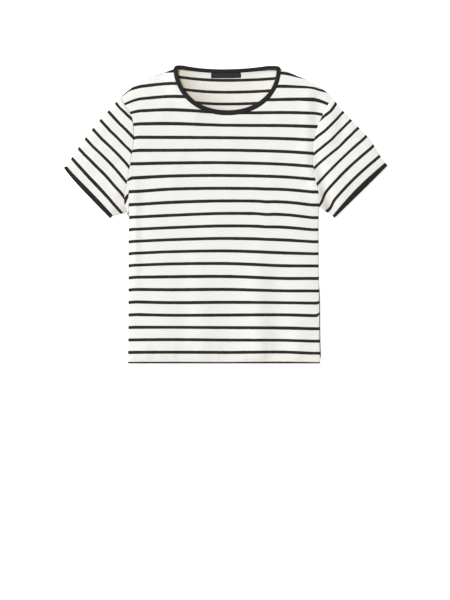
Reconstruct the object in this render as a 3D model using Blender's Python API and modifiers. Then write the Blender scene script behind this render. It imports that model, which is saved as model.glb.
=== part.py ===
"""Short-sleeved round-neck t-shirt in striped jersey, laid flat on its back with its front up.

Metres, +Z up. The cloth lies on the plane Z = 0, with its hem towards -Y and its neck towards +Y.
The origin is on that plane, under the middle of the laid-out shirt. Left and right are as seen
from above, so the left sleeve is the one towards -X.

The shirt is built of the pieces that are cut and sewn: a back panel that lies flat, a front panel
on top of it, two sleeves that are flattened tubes, a ring of binding round the neck, a ring of
binding round each cuff, and a small label on the inside of the back. Neighbours stop a small gap
short of each other, where the seam is.

Plans are worked out in millimetres and become metres when an object is made.
"""

import bpy
import numpy as np

MM = 0.001

# Sizes of the shirt, millimetres.
LENGTH = 624.0  # hem to the top of the neck binding
HALF_SPAN = 340.0  # centre line to either cuff
WALL = 1.2  # jersey
BINDING_WALL = 1.8  # ribbed binding, folded double
SEAM_GAP = 0.5  # between neighbouring pieces
LAYER_GAP = 0.6  # between the front and the back at an edge
LIE = 4.8  # height of the top layer away from the edges and folds
EDGE_ROUND = 14.0  # how far in the top layer takes to rise from an edge

# Both side edges of the body, from the hem up to the armholes' tops.
# height above the hem, distance out to the left, distance out to the right
SIDES = (
    (0.0, 205.5, 198.5),
    (60.0, 204.8, 198.6),
    (130.0, 204.5, 198.2),
    (182.0, 204.5, 195.6),
    (250.0, 204.5, 195.0),
    (300.0, 204.7, 195.0),
    (318.0, 207.5, 195.6),
    (336.0, 212.6, 197.0),
    (357.0, 211.8, 195.0),
    (384.0, 206.2, 188.6),
    (414.0, 200.8, 184.4),
    (442.0, 196.0, 184.0),
    (470.0, 192.6, 186.0),
    (497.0, 193.2, 193.0),
    (521.0, 198.4, 203.0),
    (542.0, 208.0, 214.5),
    (560.0, 220.0, 227.0),
)
UNDERARM = {"left": 317.5, "right": 327.0}  # height above the hem
SHOULDER_TIP = {"left": 560.0, "right": 557.0}  # height above the hem

# A shoulder's edge, from the neck to the armhole, as shares of its run and of its drop.
SHOULDER_EDGE = ((0.0, 0.0), (0.2, 0.14), (0.44, 0.33), (0.69, 0.55), (0.86, 0.77), (1.0, 1.0))

# The sleeves' upper edge, a fold: share of the way to the cuff, bulge on the left, on the right.
SLEEVE_FOLD = (
    (0.0, 0.0, 0.0),
    (0.12, 1.5, -0.8),
    (0.25, 3.2, 0.3),
    (0.40, 5.2, 2.5),
    (0.55, 5.4, 5.0),
    (0.68, 4.7, 6.0),
    (0.80, 3.2, 3.2),
    (0.90, 1.8, 1.0),
    (1.0, 0.0, 0.0),
)

# The cuffs' open ends: where they lie, and how wide the binding shows at its ends and its middle.
CUFFS = {
    "left": {
        "fold": (-HALF_SPAN, 99.5),
        "under": (-243.0, -7.5),
        "widths": (7.6, 6.0),
        "swell": 2.6,
    },
    "right": {
        "fold": (HALF_SPAN, 104.0),
        "under": (228.0, -7.0),
        "widths": (7.2, 5.6),
        "swell": 4.6,
    },
}

# The middle line of the neck binding.
NECK_MIDDLE = 3.4  # the neck's centre, off the shirt's centre line
NECK_HALF_WIDTH = 107.0
NECK_TOP = 306.0  # where the front half ends, at the shoulders
NECK_DEPTH = 91.6
NECK_SQUARENESS = 2.1  # 2 is an ellipse
NECK_FLARE = 3.0  # how far the front half spreads as it meets the shoulders
FLARE_DROP = 48.0  # over which height it does
BACK_NECK_LOW = 299.9
BACK_NECK_RISE = 7.3
BACK_NECK_REACH = 92.0  # how far from its middle the back neck goes on rising
BACK_NECK_CENTRE = -2.0
BACK_NECK_POWER = 1.6  # 2 would be a parabola
BACK_NECK_TILT = 0.006  # the left end lies a little higher
BACK_NECK_ENDS = (-95.0, 102.5)
BACK_NECK_LIFT = 36.0  # over how far the back half rises to the front's level
BACK_NECK_LEVEL = 7.2  # how far past its end it is level
FRONT_BAND = 8.6  # width of the binding on the front
BACK_BAND = 7.4
BAND_CROWN = 0.25  # how much the band is raised along its middle
BAND_RAISE = 0.3  # the band's height above the cloth beside it
NECK_ENDS = 0.004  # how far short of the shoulders the front half stops, as a turn

LABEL_SIZE = (63.0, 8.0, 0.8)
LABEL_MIDDLE = 0.5
LABEL_GAP = 0.3  # between the label and the back panel

# The largest folds of the top layer, as ridges (up) and troughs (down), millimetres. A fold comes
# up over the first stretch of its length, and dies away over a longer last one.
FOLD_START = 0.25
FOLD_END = 0.4
# start x, start y, end x, end y, half width, height
FOLDS = (
    (-136.0, -330.0, -128.0, -140.0, 24.0, 1.3),
    (-88.0, -330.0, -92.0, -90.0, 18.0, -0.7),
    (-48.0, -330.0, -54.0, -70.0, 20.0, 1.2),
    (12.0, -330.0, 6.0, -160.0, 26.0, -1.1),
    (66.0, -330.0, 58.0, 20.0, 20.0, 2.1),
    (107.0, -330.0, 98.0, -20.0, 16.0, -1.3),
    (144.0, -330.0, 138.0, -120.0, 16.0, 1.8),
    (177.0, -330.0, 176.0, -190.0, 12.0, -0.9),
    (-190.0, 10.0, -190.0, -160.0, 8.0, 1.0),
    (-174.0, 0.0, -172.0, -150.0, 11.0, -0.8),
    (216.0, 205.0, 224.0, 120.0, 13.0, 1.5),
    (238.0, 205.0, 246.0, 130.0, 11.0, -0.7),
    (-214.0, 22.0, -262.0, 72.0, 9.0, -1.0),
    (-222.0, 42.0, -268.0, 104.0, 11.0, 1.0),
    (206.0, 30.0, 246.0, 78.0, 10.0, -0.9),
)

# How finely the pieces are divided.
SIDE_ROWS = 13  # hem to underarm
ARMHOLE_ROWS = 18  # underarm to shoulder
SHOULDER_COLUMNS = 6
FRONT_NECK_COLUMNS = 26
BACK_NECK_COLUMNS = 8
SLEEVE_STATIONS = 9
CUFF_COLUMNS = 12
TUBE_EDGE_POINTS = 5  # round either edge of a sleeve or a cuff
NECK_CORNER_POINTS = 4

IVORY = (0.88, 0.875, 0.85)
BLACK = (0.018, 0.017, 0.018)


def smooth_through(at, places, values):
    """A smooth curve through (places, values): cubic pieces whose slopes follow their neighbours."""
    places, values = np.asarray(places, float), np.asarray(values, float)
    slopes = np.gradient(values, places)
    piece = np.clip(np.searchsorted(places, at, side="right") - 1, 0, len(places) - 2)
    span = places[piece + 1] - places[piece]
    t = (at - places[piece]) / span
    return (
        (1 + 2 * t) * (1 - t) ** 2 * values[piece]
        + t * (1 - t) ** 2 * span * slopes[piece]
        + t**2 * (3 - 2 * t) * values[piece + 1]
        - t**2 * (1 - t) * span * slopes[piece + 1]
    )


def fade(share):
    """0 to 1, with flat ends."""
    share = np.clip(share, 0.0, 1.0)
    return share * share * (3 - 2 * share)


def sign_of(side):
    return -1.0 if side == "left" else 1.0


# ---------------------------------------------------------------- outlines, in plan


def side_edge(side):
    """The body's edge from the hem to the shoulder's tip, one point for each row."""
    below = np.linspace(0.0, UNDERARM[side], SIDE_ROWS + 1)
    above = np.linspace(UNDERARM[side], SHOULDER_TIP[side], ARMHOLE_ROWS + 1)
    heights = np.concatenate([below, above[1:]])
    table = np.array(SIDES)
    out = smooth_through(heights, table[:, 0], table[:, 1 if side == "left" else 2])
    return np.column_stack([sign_of(side) * out, heights - LENGTH / 2])


def armhole(side):
    """The armhole, from the shoulder's tip down to the underarm."""
    return side_edge(side)[SIDE_ROWS:][::-1]


def front_neck(turn):
    """The middle line of the front half of the neck: turn 0 is at the right shoulder, pi at the left."""
    power = 2 / NECK_SQUARENESS
    across = np.sign(np.cos(turn)) * np.abs(np.cos(turn)) ** power
    down = np.abs(np.sin(turn)) ** power
    y = NECK_TOP - NECK_DEPTH * down
    flare = NECK_FLARE * fade((y - NECK_TOP + FLARE_DROP) / FLARE_DROP)
    return np.column_stack([NECK_MIDDLE + (NECK_HALF_WIDTH + flare) * across, y])


def back_neck(x):
    """The middle line of the back half of the neck."""
    rise = np.minimum(np.abs(x - BACK_NECK_CENTRE) / BACK_NECK_REACH, 1.0) ** BACK_NECK_POWER
    return np.column_stack([x, BACK_NECK_LOW + BACK_NECK_RISE * rise - BACK_NECK_TILT * x])


def rounded_corner(start, corner, end, count):
    """Points between start and end on a curve that bends towards the corner."""
    t = np.linspace(0.0, 1.0, count + 2)[1:-1, None]
    return (1 - t) ** 2 * start + 2 * t * (1 - t) * corner + t**2 * end


def moved_out(line, distance):
    """A line moved to its right-hand side by a distance, or by one for each of its points."""
    along = np.gradient(line, axis=0)
    along /= np.linalg.norm(along, axis=1)[:, None]
    sideways = np.column_stack([along[:, 1], -along[:, 0]])
    return line + sideways * np.reshape(distance, (-1, 1))


def front_neck_edge():
    """The front panel's neck edge, from the left shoulder round to the right, outside the binding."""
    turn = np.linspace(np.pi - NECK_ENDS, NECK_ENDS, FRONT_NECK_COLUMNS + 1)
    return moved_out(front_neck(turn), FRONT_BAND / 2 + SEAM_GAP)


def back_neck_edge(shoulder_left, shoulder_right):
    """The back panel's neck edge, from the left shoulder to the right, below the binding."""
    x = np.linspace(*BACK_NECK_ENDS, BACK_NECK_COLUMNS - 1)
    middle = moved_out(back_neck(x), BACK_BAND / 2 + SEAM_GAP)
    return np.vstack([shoulder_left, middle, shoulder_right])


def shoulder_edge(side, neck_point):
    """A shoulder's edge, from the neck out to the armhole."""
    tip = side_edge(side)[-1]
    table = np.array(SHOULDER_EDGE)
    run = np.linspace(0.0, 1.0, SHOULDER_COLUMNS + 1)
    drop = smooth_through(run, table[:, 0], table[:, 1])
    return neck_point + (tip - neck_point) * np.column_stack([run, drop])


def spread(line, count):
    """A line divided into equal lengths."""
    steps = np.linalg.norm(np.diff(line, axis=0), axis=1)
    length = np.concatenate([[0.0], np.cumsum(steps)])
    at = np.linspace(0.0, length[-1], count + 1)
    return np.column_stack([np.interp(at, length, line[:, axis]) for axis in range(2)])


def cuff_lines(side):
    """A cuff's outer line, and the line where its binding meets the sleeve, from fold to underarm."""
    cuff = CUFFS[side]
    outer = np.linspace(cuff["fold"], cuff["under"], CUFF_COLUMNS + 1)
    share = np.linspace(0.0, 1.0, CUFF_COLUMNS + 1)
    width = np.interp(share, (0.0, 1.0), cuff["widths"]) + cuff["swell"] * np.sin(np.pi * share)
    return outer, moved_out(outer, sign_of(side) * width)


def sleeve_fold_edge(side, start, end):
    """The sleeve's upper edge, from the shoulder's tip to the cuff."""
    table = np.array(SLEEVE_FOLD)
    share = np.linspace(0.0, 1.0, SLEEVE_STATIONS + 1)
    bulge = smooth_through(share, table[:, 0], table[:, 1 if side == "left" else 2])
    along = (end - start) / np.linalg.norm(end - start)
    outward = np.array([-along[1], along[0]]) * sign_of(side)
    return start + (end - start) * share[:, None] + outward * bulge[:, None]


def silhouette():
    """The laid-out shirt's outer edge as stretches of line, without the neck."""
    lines = [np.array([side_edge("left")[0], side_edge("right")[0]])]
    for side in ("left", "right"):
        neck = front_neck_edge()[0 if side == "left" else -1]
        outer = cuff_lines(side)[0]
        lines.append(side_edge(side)[: SIDE_ROWS + 1])
        lines.append(np.array([armhole(side)[-1], outer[-1]]))
        lines.append(outer)
        lines.append(sleeve_fold_edge(side, armhole(side)[0], outer[0]))
        lines.append(shoulder_edge(side, neck))
    return lines


def distance_in(x, y, lines):
    """How far each point lies from the nearest of the lines."""
    nearest = np.full(np.shape(x), np.inf)
    for line in lines:
        for a, b in zip(line[:-1], line[1:]):
            along = b - a
            t = ((x - a[0]) * along[0] + (y - a[1]) * along[1]) / (along @ along)
            t = np.clip(t, 0.0, 1.0)
            gap = np.hypot(x - a[0] - t * along[0], y - a[1] - t * along[1])
            nearest = np.minimum(nearest, gap)
    return nearest


# ---------------------------------------------------------------- heights


def top_height(x, y):
    """Height of the top layer's outer face: it rises from the shirt's edges, with its folds on it."""
    edge = 2 * WALL + LAYER_GAP
    inward = distance_in(x, y, silhouette())
    height = edge + (LIE - edge) * (1 - np.exp(-inward / EDGE_ROUND))
    for x0, y0, x1, y1, half_width, rise in FOLDS:
        length = np.hypot(x1 - x0, y1 - y0)
        along = ((x - x0) * (x1 - x0) + (y - y0) * (y1 - y0)) / length
        across = ((x - x0) * (y1 - y0) - (y - y0) * (x1 - x0)) / length
        start = fade(along / (FOLD_START * length) + 0.5)
        ends = start * fade((length - along) / (FOLD_END * length) + 0.2)
        fold = rise * np.exp(-((across / half_width) ** 2)) * ends
        height = height + fold * fade(inward / half_width)
    return np.maximum(height, edge)


# ---------------------------------------------------------------- pieces


def patch(left, right, bottom, top):
    """A grid of points between four edges that share their corners.

    left and right run up the rows, bottom and top along the columns. Each point is the sum of the
    two straight blends between opposite edges, less the blend of the four corners.
    """
    v = np.linspace(0.0, 1.0, len(left))[:, None, None]
    u = np.linspace(0.0, 1.0, len(bottom))[None, :, None]
    rows = (1 - u) * left[:, None] + u * right[:, None]
    columns = (1 - v) * bottom[None] + v * top[None]
    low = (1 - u) * bottom[0] + u * bottom[-1]
    high = (1 - u) * top[0] + u * top[-1]
    return rows + columns - ((1 - v) * low + v * high)


def panel_plan(neck_edge):
    """The plan of a body panel, whose top edge is shoulder, neck edge, shoulder.

    Straight columns run from the hem to the top edge. The side edges' curves bend only the
    columns that end on a shoulder, less and less towards the neck.
    """
    left_shoulder = shoulder_edge("left", neck_edge[0])[::-1]
    right_shoulder = shoulder_edge("right", neck_edge[-1])
    top = np.vstack([left_shoulder[:-1], neck_edge, right_shoulder[1:]])
    left, right = side_edge("left"), side_edge("right")
    even = np.linspace(0.0, 1.0, len(top))
    above = (top[:, 0] - top[0, 0]) / (top[-1, 0] - top[0, 0])
    share = 0.5 * (even + above)[:, None]
    bottom = left[0] + (right[0] - left[0]) * share
    v = ((left[:, 1] - left[0, 1]) / (left[-1, 1] - left[0, 1]))[:, None, None]
    plan = (1 - v) * bottom + v * top
    column = np.arange(len(top))[None, :, None]
    for edge, steps_in in ((left, column), (right, len(top) - 1 - column)):
        bend = edge[:, None] - ((1 - v) * edge[0] + v * edge[-1])
        plan = plan + bend * np.maximum(1 - steps_in / SHOULDER_COLUMNS, 0.0)
    return plan


def tube_rings(plan, radius, column_shares):
    """Rings of a flattened tube: flat below, rounded at its two edges, and lifted above.

    Each row of the plan crosses the tube from edge to edge. The ring goes round the first edge,
    over the top, round the other edge and back along the floor. The top is nowhere lower than the
    edges are thick, so that the two walls stay apart.
    """
    arc = np.linspace(-0.5, 0.5, TUBE_EDGE_POINTS) * np.pi
    over = slice(TUBE_EDGE_POINTS, TUBE_EDGE_POINTS + len(column_shares) - 2)
    rings = []
    for row in plan:
        steps = np.linalg.norm(np.diff(row, axis=0), axis=1)
        length = np.concatenate([[0.0], np.cumsum(steps)])
        inner = column_shares[1:-1] * length[-1]
        near = radius * (1 - np.cos(arc))
        far = length[-1] - near[::-1]
        at = np.concatenate([near, inner, far, inner[::-1]])
        x, y = (np.interp(at, length, row[:, axis]) for axis in range(2))
        rise = radius * (1 + np.sin(arc))
        top = np.maximum(top_height(x[over], y[over]), 2 * radius)
        z = np.concatenate([rise, top, rise[::-1], np.zeros(len(inner))])
        rings.append(np.column_stack([x, y, z]))
    return np.array(rings)


def shares_of(line):
    steps = np.linalg.norm(np.diff(line, axis=0), axis=1)
    return np.concatenate([[0.0], np.cumsum(steps)]) / steps.sum()


def sleeve_plan(side):
    """The sleeve's plan, with rows from the armhole to the cuff's binding."""
    inner = cuff_lines(side)[1]
    seam = moved_out(inner, sign_of(side) * SEAM_GAP)
    root = moved_out(armhole(side), -sign_of(side) * SEAM_GAP)
    end_steps = spread(seam, ARMHOLE_ROWS)
    fold = sleeve_fold_edge(side, root[0], end_steps[0])
    under = np.linspace(root[-1], end_steps[-1], SLEEVE_STATIONS + 1)
    return patch(fold, under, root, end_steps)


# ---------------------------------------------------------------- objects


def cloth_material(name, colour, roughness):
    material = bpy.data.materials.new(name)
    material.use_nodes = True
    shader = material.node_tree.nodes["Principled BSDF"]
    shader.inputs["Base Color"].default_value = (*colour, 1.0)
    shader.inputs["Roughness"].default_value = roughness
    shader.inputs["Metallic"].default_value = 0.0
    return material


def cloth(name, points, wall, colour, closed=False, flipped=False):
    """An object from a grid of surface points, given its wall by a Solidify on the inner side.

    closed joins the last column of points to the first, which makes a tube or a ring.
    """
    rows, columns = points.shape[:2]
    index = np.arange(rows * columns).reshape(rows, columns)
    if closed:
        index = np.column_stack([index, index[:, 0]])
    corners = [index[:-1, :-1], index[:-1, 1:], index[1:, 1:], index[1:, :-1]]
    faces = np.stack(corners, axis=-1).reshape(-1, 4)
    if flipped:
        faces = faces[:, ::-1]
    mesh = bpy.data.meshes.new(name)
    mesh.from_pydata((points.reshape(-1, 3) * MM).tolist(), [], faces.tolist())
    mesh.shade_smooth()
    piece = bpy.data.objects.new(name, mesh)
    piece.data.materials.append(cloth_material(name, colour, 0.9))
    solidify = piece.modifiers.new("wall", "SOLIDIFY")
    solidify.thickness = wall * MM
    solidify.offset = -1.0
    shirt.objects.link(piece)
    return piece


def make_back_panel():
    """It lies flat on the floor with its outer face down."""
    ends = front_neck_edge()[[0, -1]]
    plan = panel_plan(back_neck_edge(ends[0], ends[1]))
    points = np.dstack([plan, np.zeros(plan.shape[:2])])
    cloth("back_panel", points, WALL, IVORY, flipped=True)


def make_front_panel():
    plan = panel_plan(front_neck_edge())
    points = np.dstack([plan, top_height(plan[..., 0], plan[..., 1])])
    cloth("front_panel", points, WALL, IVORY)


def make_sleeve(side):
    radius = WALL + LAYER_GAP / 2
    rings = tube_rings(sleeve_plan(side), radius, shares_of(armhole(side)))
    cloth(f"sleeve_{side}", rings, WALL, IVORY, closed=True, flipped=side == "left")


def make_cuff_binding(side):
    outer, inner = cuff_lines(side)
    share = np.linspace(0.0, 1.0, 3)[:, None, None]
    plan = inner[None] * (1 - share) + outer[None] * share
    radius = BINDING_WALL + LAYER_GAP / 4
    columns = np.linspace(0.0, 1.0, CUFF_COLUMNS + 1)
    rings = tube_rings(plan, radius, columns)
    cloth(f"cuff_binding_{side}", rings, BINDING_WALL, BLACK, closed=True, flipped=side == "left")


def neck_ring():
    """The neck binding's middle line, its band width and its height, all the way round."""
    turn = np.linspace(NECK_ENDS, np.pi - NECK_ENDS, FRONT_NECK_COLUMNS + 1)
    front = front_neck(turn)
    back = back_neck(np.linspace(*BACK_NECK_ENDS, 2 * BACK_NECK_COLUMNS + 1))
    left_corner = np.array([front[-1, 0], back[0, 1]])
    right_corner = np.array([front[0, 0], back[-1, 1]])
    corners = [
        rounded_corner(front[-1], left_corner, back[0], NECK_CORNER_POINTS),
        rounded_corner(back[-1], right_corner, front[0], NECK_CORNER_POINTS),
    ]
    line = np.vstack([front, corners[0], back, corners[1]])
    on_back = np.zeros(len(line), bool)
    on_back[len(front) + NECK_CORNER_POINTS : -NECK_CORNER_POINTS] = True
    low = BINDING_WALL + BAND_CROWN
    high = top_height(line[:, 0], line[:, 1]) + BAND_RAISE
    past_end = np.abs(line[:, 0] - np.mean(BACK_NECK_ENDS)) - np.ptp(BACK_NECK_ENDS) / 2
    lift = fade((past_end + BACK_NECK_LEVEL) / BACK_NECK_LIFT + 1)
    edge = 2 * WALL + LAYER_GAP
    top = np.where(on_back, low + (edge + BAND_RAISE - low) * lift, high)
    width = np.where(on_back, BACK_BAND, FRONT_BAND)
    return line, width, top


def make_neck_binding():
    """A flat band whose front half lies on the front panel's level, and whose back half on the floor."""
    line, width, top = neck_ring()
    around = np.roll(line, -1, axis=0) - np.roll(line, 1, axis=0)
    around /= np.linalg.norm(around, axis=1)[:, None]
    outward = np.column_stack([-around[:, 1], around[:, 0]])
    band = []
    for share in (-0.5, -0.2, 0.2, 0.5):
        across = line + outward * (share * width)[:, None]
        band.append(np.column_stack([across, top - BAND_CROWN * (2 * share) ** 2]))
    cloth("neck_binding", np.array(band), BINDING_WALL, BLACK, closed=True)


def make_neck_label():
    """A woven strip on the back panel's inner face, its upper edge caught under the neck binding."""
    width, depth, wall = LABEL_SIZE
    top = BACK_NECK_LOW - BACK_BAND / 2 - SEAM_GAP
    x = np.linspace(LABEL_MIDDLE - width / 2, LABEL_MIDDLE + width / 2, 7)
    y = np.linspace(top - depth, top, 4)
    plan = np.stack(np.meshgrid(x, y), axis=-1)
    height = WALL + LABEL_GAP + wall
    points = np.dstack([plan, np.full(plan.shape[:2], height)])
    cloth("neck_label", points, wall, BLACK)


for thing in list(bpy.data.objects):
    bpy.data.objects.remove(thing, do_unlink=True)

shirt = bpy.data.collections.new("striped_t_shirt")
bpy.context.scene.collection.children.link(shirt)

make_back_panel()
make_front_panel()
for side in ("left", "right"):
    make_sleeve(side)
    make_cuff_binding(side)
make_neck_binding()
make_neck_label()
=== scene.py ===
"""Short-sleeved round-neck t-shirt in striped cotton jersey, laid flat with its front up.

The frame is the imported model's: metres, +Z up, the hem towards -Y and the neck towards +Y, with the
cloth on the plane Z = 0. Left and right are as seen from above. Shapes are worked out in
millimetres and become metres when a mesh is made. The sections follow the sewing: back, front,
sleeves, cuff bindings, neck binding, label, sewing.
"""

import bpy
import numpy as np
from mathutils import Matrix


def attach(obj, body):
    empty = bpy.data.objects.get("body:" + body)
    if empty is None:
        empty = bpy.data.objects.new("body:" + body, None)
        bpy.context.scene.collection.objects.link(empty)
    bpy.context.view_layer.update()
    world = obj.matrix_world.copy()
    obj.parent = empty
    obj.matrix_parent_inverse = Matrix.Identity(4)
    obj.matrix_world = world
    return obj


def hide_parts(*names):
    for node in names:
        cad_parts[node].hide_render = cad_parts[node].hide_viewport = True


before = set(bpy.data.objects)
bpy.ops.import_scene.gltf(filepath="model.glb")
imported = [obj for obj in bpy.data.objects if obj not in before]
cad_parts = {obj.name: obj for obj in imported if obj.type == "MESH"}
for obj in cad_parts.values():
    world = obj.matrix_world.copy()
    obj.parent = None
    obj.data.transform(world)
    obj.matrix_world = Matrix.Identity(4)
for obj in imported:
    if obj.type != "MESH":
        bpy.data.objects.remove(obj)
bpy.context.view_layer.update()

# ------------------------------------------------------------------------------------ back panel
# One cut of fine cotton jersey, ivory with black yarn-dyed stripes. It lies on its outer face, so
# its inside shows through the neck. Its hem is turned up inside and its side edges roll up to the
# side seams. The shirt's outline, its stripes and its stuff are worked out here.

MM = 0.001
LENGTH = 624.0  # hem to the top of the neck binding
JERSEY = 0.65  # the cloth's thickness
HEM_DEPTH = 20.0
HEM_PLY = 0.7  # from one ply of the hem's fold to the next
HEM_INSIDE_ROWS = 8
HEM_TURN = 75.0  # degrees each way from the middle of the fold
BACK_COLUMNS = 120
BACK_ROLL = 1.25  # radius of the back's rolled side edges
RIPPLES_RISE = (12.0, 3.0)  # how far in from the edges and from the hem the ripples are whole
SEAM_DIP_WIDTH = 1.3  # half the width of the groove at the armhole seams
BACK_SEAM_DIP = 0.6  # how far the back is lifted off the table there
BOTH = ("left", "right")

# Height above the hem, distance out to the left edge, distance out to the right edge.
SIDES = np.array([
    (0, 205.3, 196.4),
    (4, 205.5, 198.6),
    (14, 205.4, 198.9),
    (36, 205, 198.2),
    (70, 204.8, 197.6),
    (130, 204.5, 197),
    (182, 204.5, 195.6),
    (250, 204.5, 195),
    (300, 204.7, 195),
    (318, 207.5, 195.6),
    (336, 212.6, 197),
    (357, 211.8, 195),
    (384, 206.2, 188.6),
    (414, 200.8, 184.4),
    (442, 196, 184),
    (470, 192.6, 186),
    (497, 193.2, 193),
    (521, 198.4, 203),
    (544, 212.4, 215.3),
    (560, 220, 227),
])
UNDERARM = {"left": 317.5, "right": 327.0}  # height above the hem
SHOULDER_TIP = {"left": 560.0, "right": 557.0}

# A shoulder's edge, from the neck to the armhole, as shares of its run and of its drop.
SHOULDER_EDGE = np.array([
    (0, 0), (0.2, 0.14), (0.44, 0.33), (0.69, 0.55), (0.86, 0.77), (1, 1),
])

BACK_NECK_LOW = 301.3
BACK_NECK_RISE = 7.4
BACK_NECK_MIDDLE = -10.0
BACK_NECK_REACH = (82.0, 98.0)  # from its middle to its left and right ends
BACK_NECK_TILT = 0.006
BACK_NECK_ENDS = (-99.0, 101.0)
BACK_BAND = 8.4  # width of the neck binding at the back
BACK_TUCK = 2.0  # how far the back goes on inside the neck binding
BACK_TUCK_LIFT = 0.62  # and how high it lies there
BACK_NECK_FROM = 0.3  # the share of the columns that end on either shoulder


def cubic(t, span, start, end, start_slope, end_slope):
    """A cubic from start to end as t goes from 0 to 1 over a span, with a given slope at each."""
    return (
        (1 + 2 * t) * (1 - t) ** 2 * start
        + t * (1 - t) ** 2 * span * start_slope
        + t**2 * (3 - 2 * t) * end
        - t**2 * (1 - t) * span * end_slope
    )


def smooth_through(at, places, values):
    """Cubics through (places, values), each with the slopes of the straight lines round it."""
    slopes = np.gradient(values, places)
    piece = np.clip(np.searchsorted(places, at, side="right") - 1, 0, len(places) - 2)
    span = places[piece + 1] - places[piece]
    t = np.clip((at - places[piece]) / span, 0.0, 1.0)
    return cubic(t, span, values[piece], values[piece + 1], slopes[piece], slopes[piece + 1])


def fade(share):
    """3 s^2 - 2 s^3, which goes from 0 to 1 with flat ends."""
    share = np.clip(share, 0.0, 1.0)
    return share * share * (3 - 2 * share)


def sign_of(side):
    """Which way X goes from the middle to a side."""
    return -1.0 if side == "left" else 1.0


def side_edge(side, rows):
    """The body's edge in plan: row 0 is at the hem, 1 at the underarm and 2 at the shoulder's tip."""
    heights = np.interp(rows, (0.0, 1.0, 2.0), (0.0, UNDERARM[side], SHOULDER_TIP[side]))
    out = smooth_through(heights, SIDES[:, 0], SIDES[:, 1 if side == "left" else 2])
    return np.column_stack([sign_of(side) * out, heights - LENGTH / 2])


def moved_out(line, distance):
    """A line moved to its right by a distance: each point plus the tangent turned by -90 degrees."""
    along = np.gradient(line, axis=0)
    along /= np.linalg.norm(along, axis=1)[:, None]
    return line + np.column_stack([along[:, 1], -along[:, 0]]) * np.reshape(distance, (-1, 1))


def along_line(line, lengths, at):
    """The points of a line at some lengths along it, where lengths has that of each of its own."""
    return np.column_stack([np.interp(at, lengths, line[:, axis]) for axis in range(line.shape[1])])


def shoulder_edge(side, neck_point, run):
    """A shoulder's edge in plan: run 0 is at the neck and 1 at the armhole."""
    tip = side_edge(side, np.array([2.0]))[0]
    drop = smooth_through(run, SHOULDER_EDGE[:, 0], SHOULDER_EDGE[:, 1])
    return neck_point + (tip - neck_point) * np.column_stack([run, drop])


def back_neck(x):
    """The middle line of the neck binding's back half: a low parabola, tilted a little."""
    from_middle = x - BACK_NECK_MIDDLE
    reach = np.where(from_middle < 0, *BACK_NECK_REACH)
    rise = np.minimum(np.abs(from_middle) / reach, 1.0) ** 2
    return np.column_stack([x, BACK_NECK_LOW + BACK_NECK_RISE * rise - BACK_NECK_TILT * x])


def body_plan(rows, columns, neck_edge, neck_from):
    """A body panel in plan: straight columns from the hem to shoulder, neck edge, shoulder.

    columns and neck_from are shares of the hem, and the columns nearer to a side than neck_from
    end on that side's shoulder. The side edges' curves bend these, less and less inwards.
    """
    on_neck = (columns - neck_from) / (1 - 2 * neck_from)
    top = along_line(neck_edge, np.linspace(0.0, 1.0, len(neck_edge)), np.clip(on_neck, 0.0, 1.0))
    for side, run in (("left", 1 - columns / neck_from), ("right", 1 - (1 - columns) / neck_from)):
        beyond = run > 0
        corner = neck_edge[0 if side == "left" else -1]
        top[beyond] = shoulder_edge(side, corner, run[beyond])
    edges = {side: side_edge(side, rows) for side in BOTH}
    ends = {side: side_edge(side, np.array([0.0, 2.0])) for side in BOTH}
    above = (top[:, 0] - top[0, 0]) / (top[-1, 0] - top[0, 0])
    share = 0.5 * (columns + above)[:, None]
    bottom = ends["left"][0] + (ends["right"][0] - ends["left"][0]) * share
    v = ((edges["left"][:, 1] + LENGTH / 2) / np.ptp(ends["left"][:, 1]))[:, None, None]
    plan = (1 - v) * bottom + v * top
    for side, steps_in in (("left", columns), ("right", 1 - columns)):
        bend = edges[side][:, None] - ((1 - v) * ends[side][0] + v * ends[side][1])
        plan = plan + bend * np.maximum(1 - steps_in / neck_from, 0.0)[None, :, None]
    return plan


def gap_to(x, y, lines):
    """The distance of each point from the nearest of some lines, piece by straight piece."""
    nearest = np.full(np.shape(x), np.inf)
    for line in lines:
        for a, b in zip(line[:-1], line[1:]):
            along = b - a
            t = np.clip(((x - a[0]) * along[0] + (y - a[1]) * along[1]) / (along @ along), 0.0, 1.0)
            nearest = np.minimum(nearest, np.hypot(x - a[0] - t * along[0], y - a[1] - t * along[1]))
    return nearest


def rolled(gap, radius, height):
    """How far a surface falls towards its edge as it rolls over it: a quarter of an ellipse."""
    inward = np.clip(1 - gap / radius, 0.0, 1.0)
    return height * (1 - np.sqrt(1 - inward**2))


def hem_turn(heights):
    """The rows of a panel with its hem: up the inside, round the fold and up the outside.

    Gives each row's height above the fold, and how far it lies behind the outer face.
    """
    inside = np.linspace(HEM_DEPTH, HEM_PLY, HEM_INSIDE_ROWS)
    turn = np.radians(np.linspace(-HEM_TURN, HEM_TURN, 5))
    outside = np.concatenate([[HEM_PLY], heights])
    behind = [2 * HEM_PLY + 0 * inside, HEM_PLY * (1 - np.sin(turn)), np.zeros(len(outside))]
    return np.concatenate([inside, HEM_PLY * (1 - np.cos(turn)), outside]), np.concatenate(behind)


def body_rows(heights):
    """Rows of the side edges, 0 to 2, for heights above the hem."""
    return np.interp(heights, (0.0, UNDERARM["left"], SHOULDER_TIP["left"]), (0.0, 1.0, 2.0))


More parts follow.
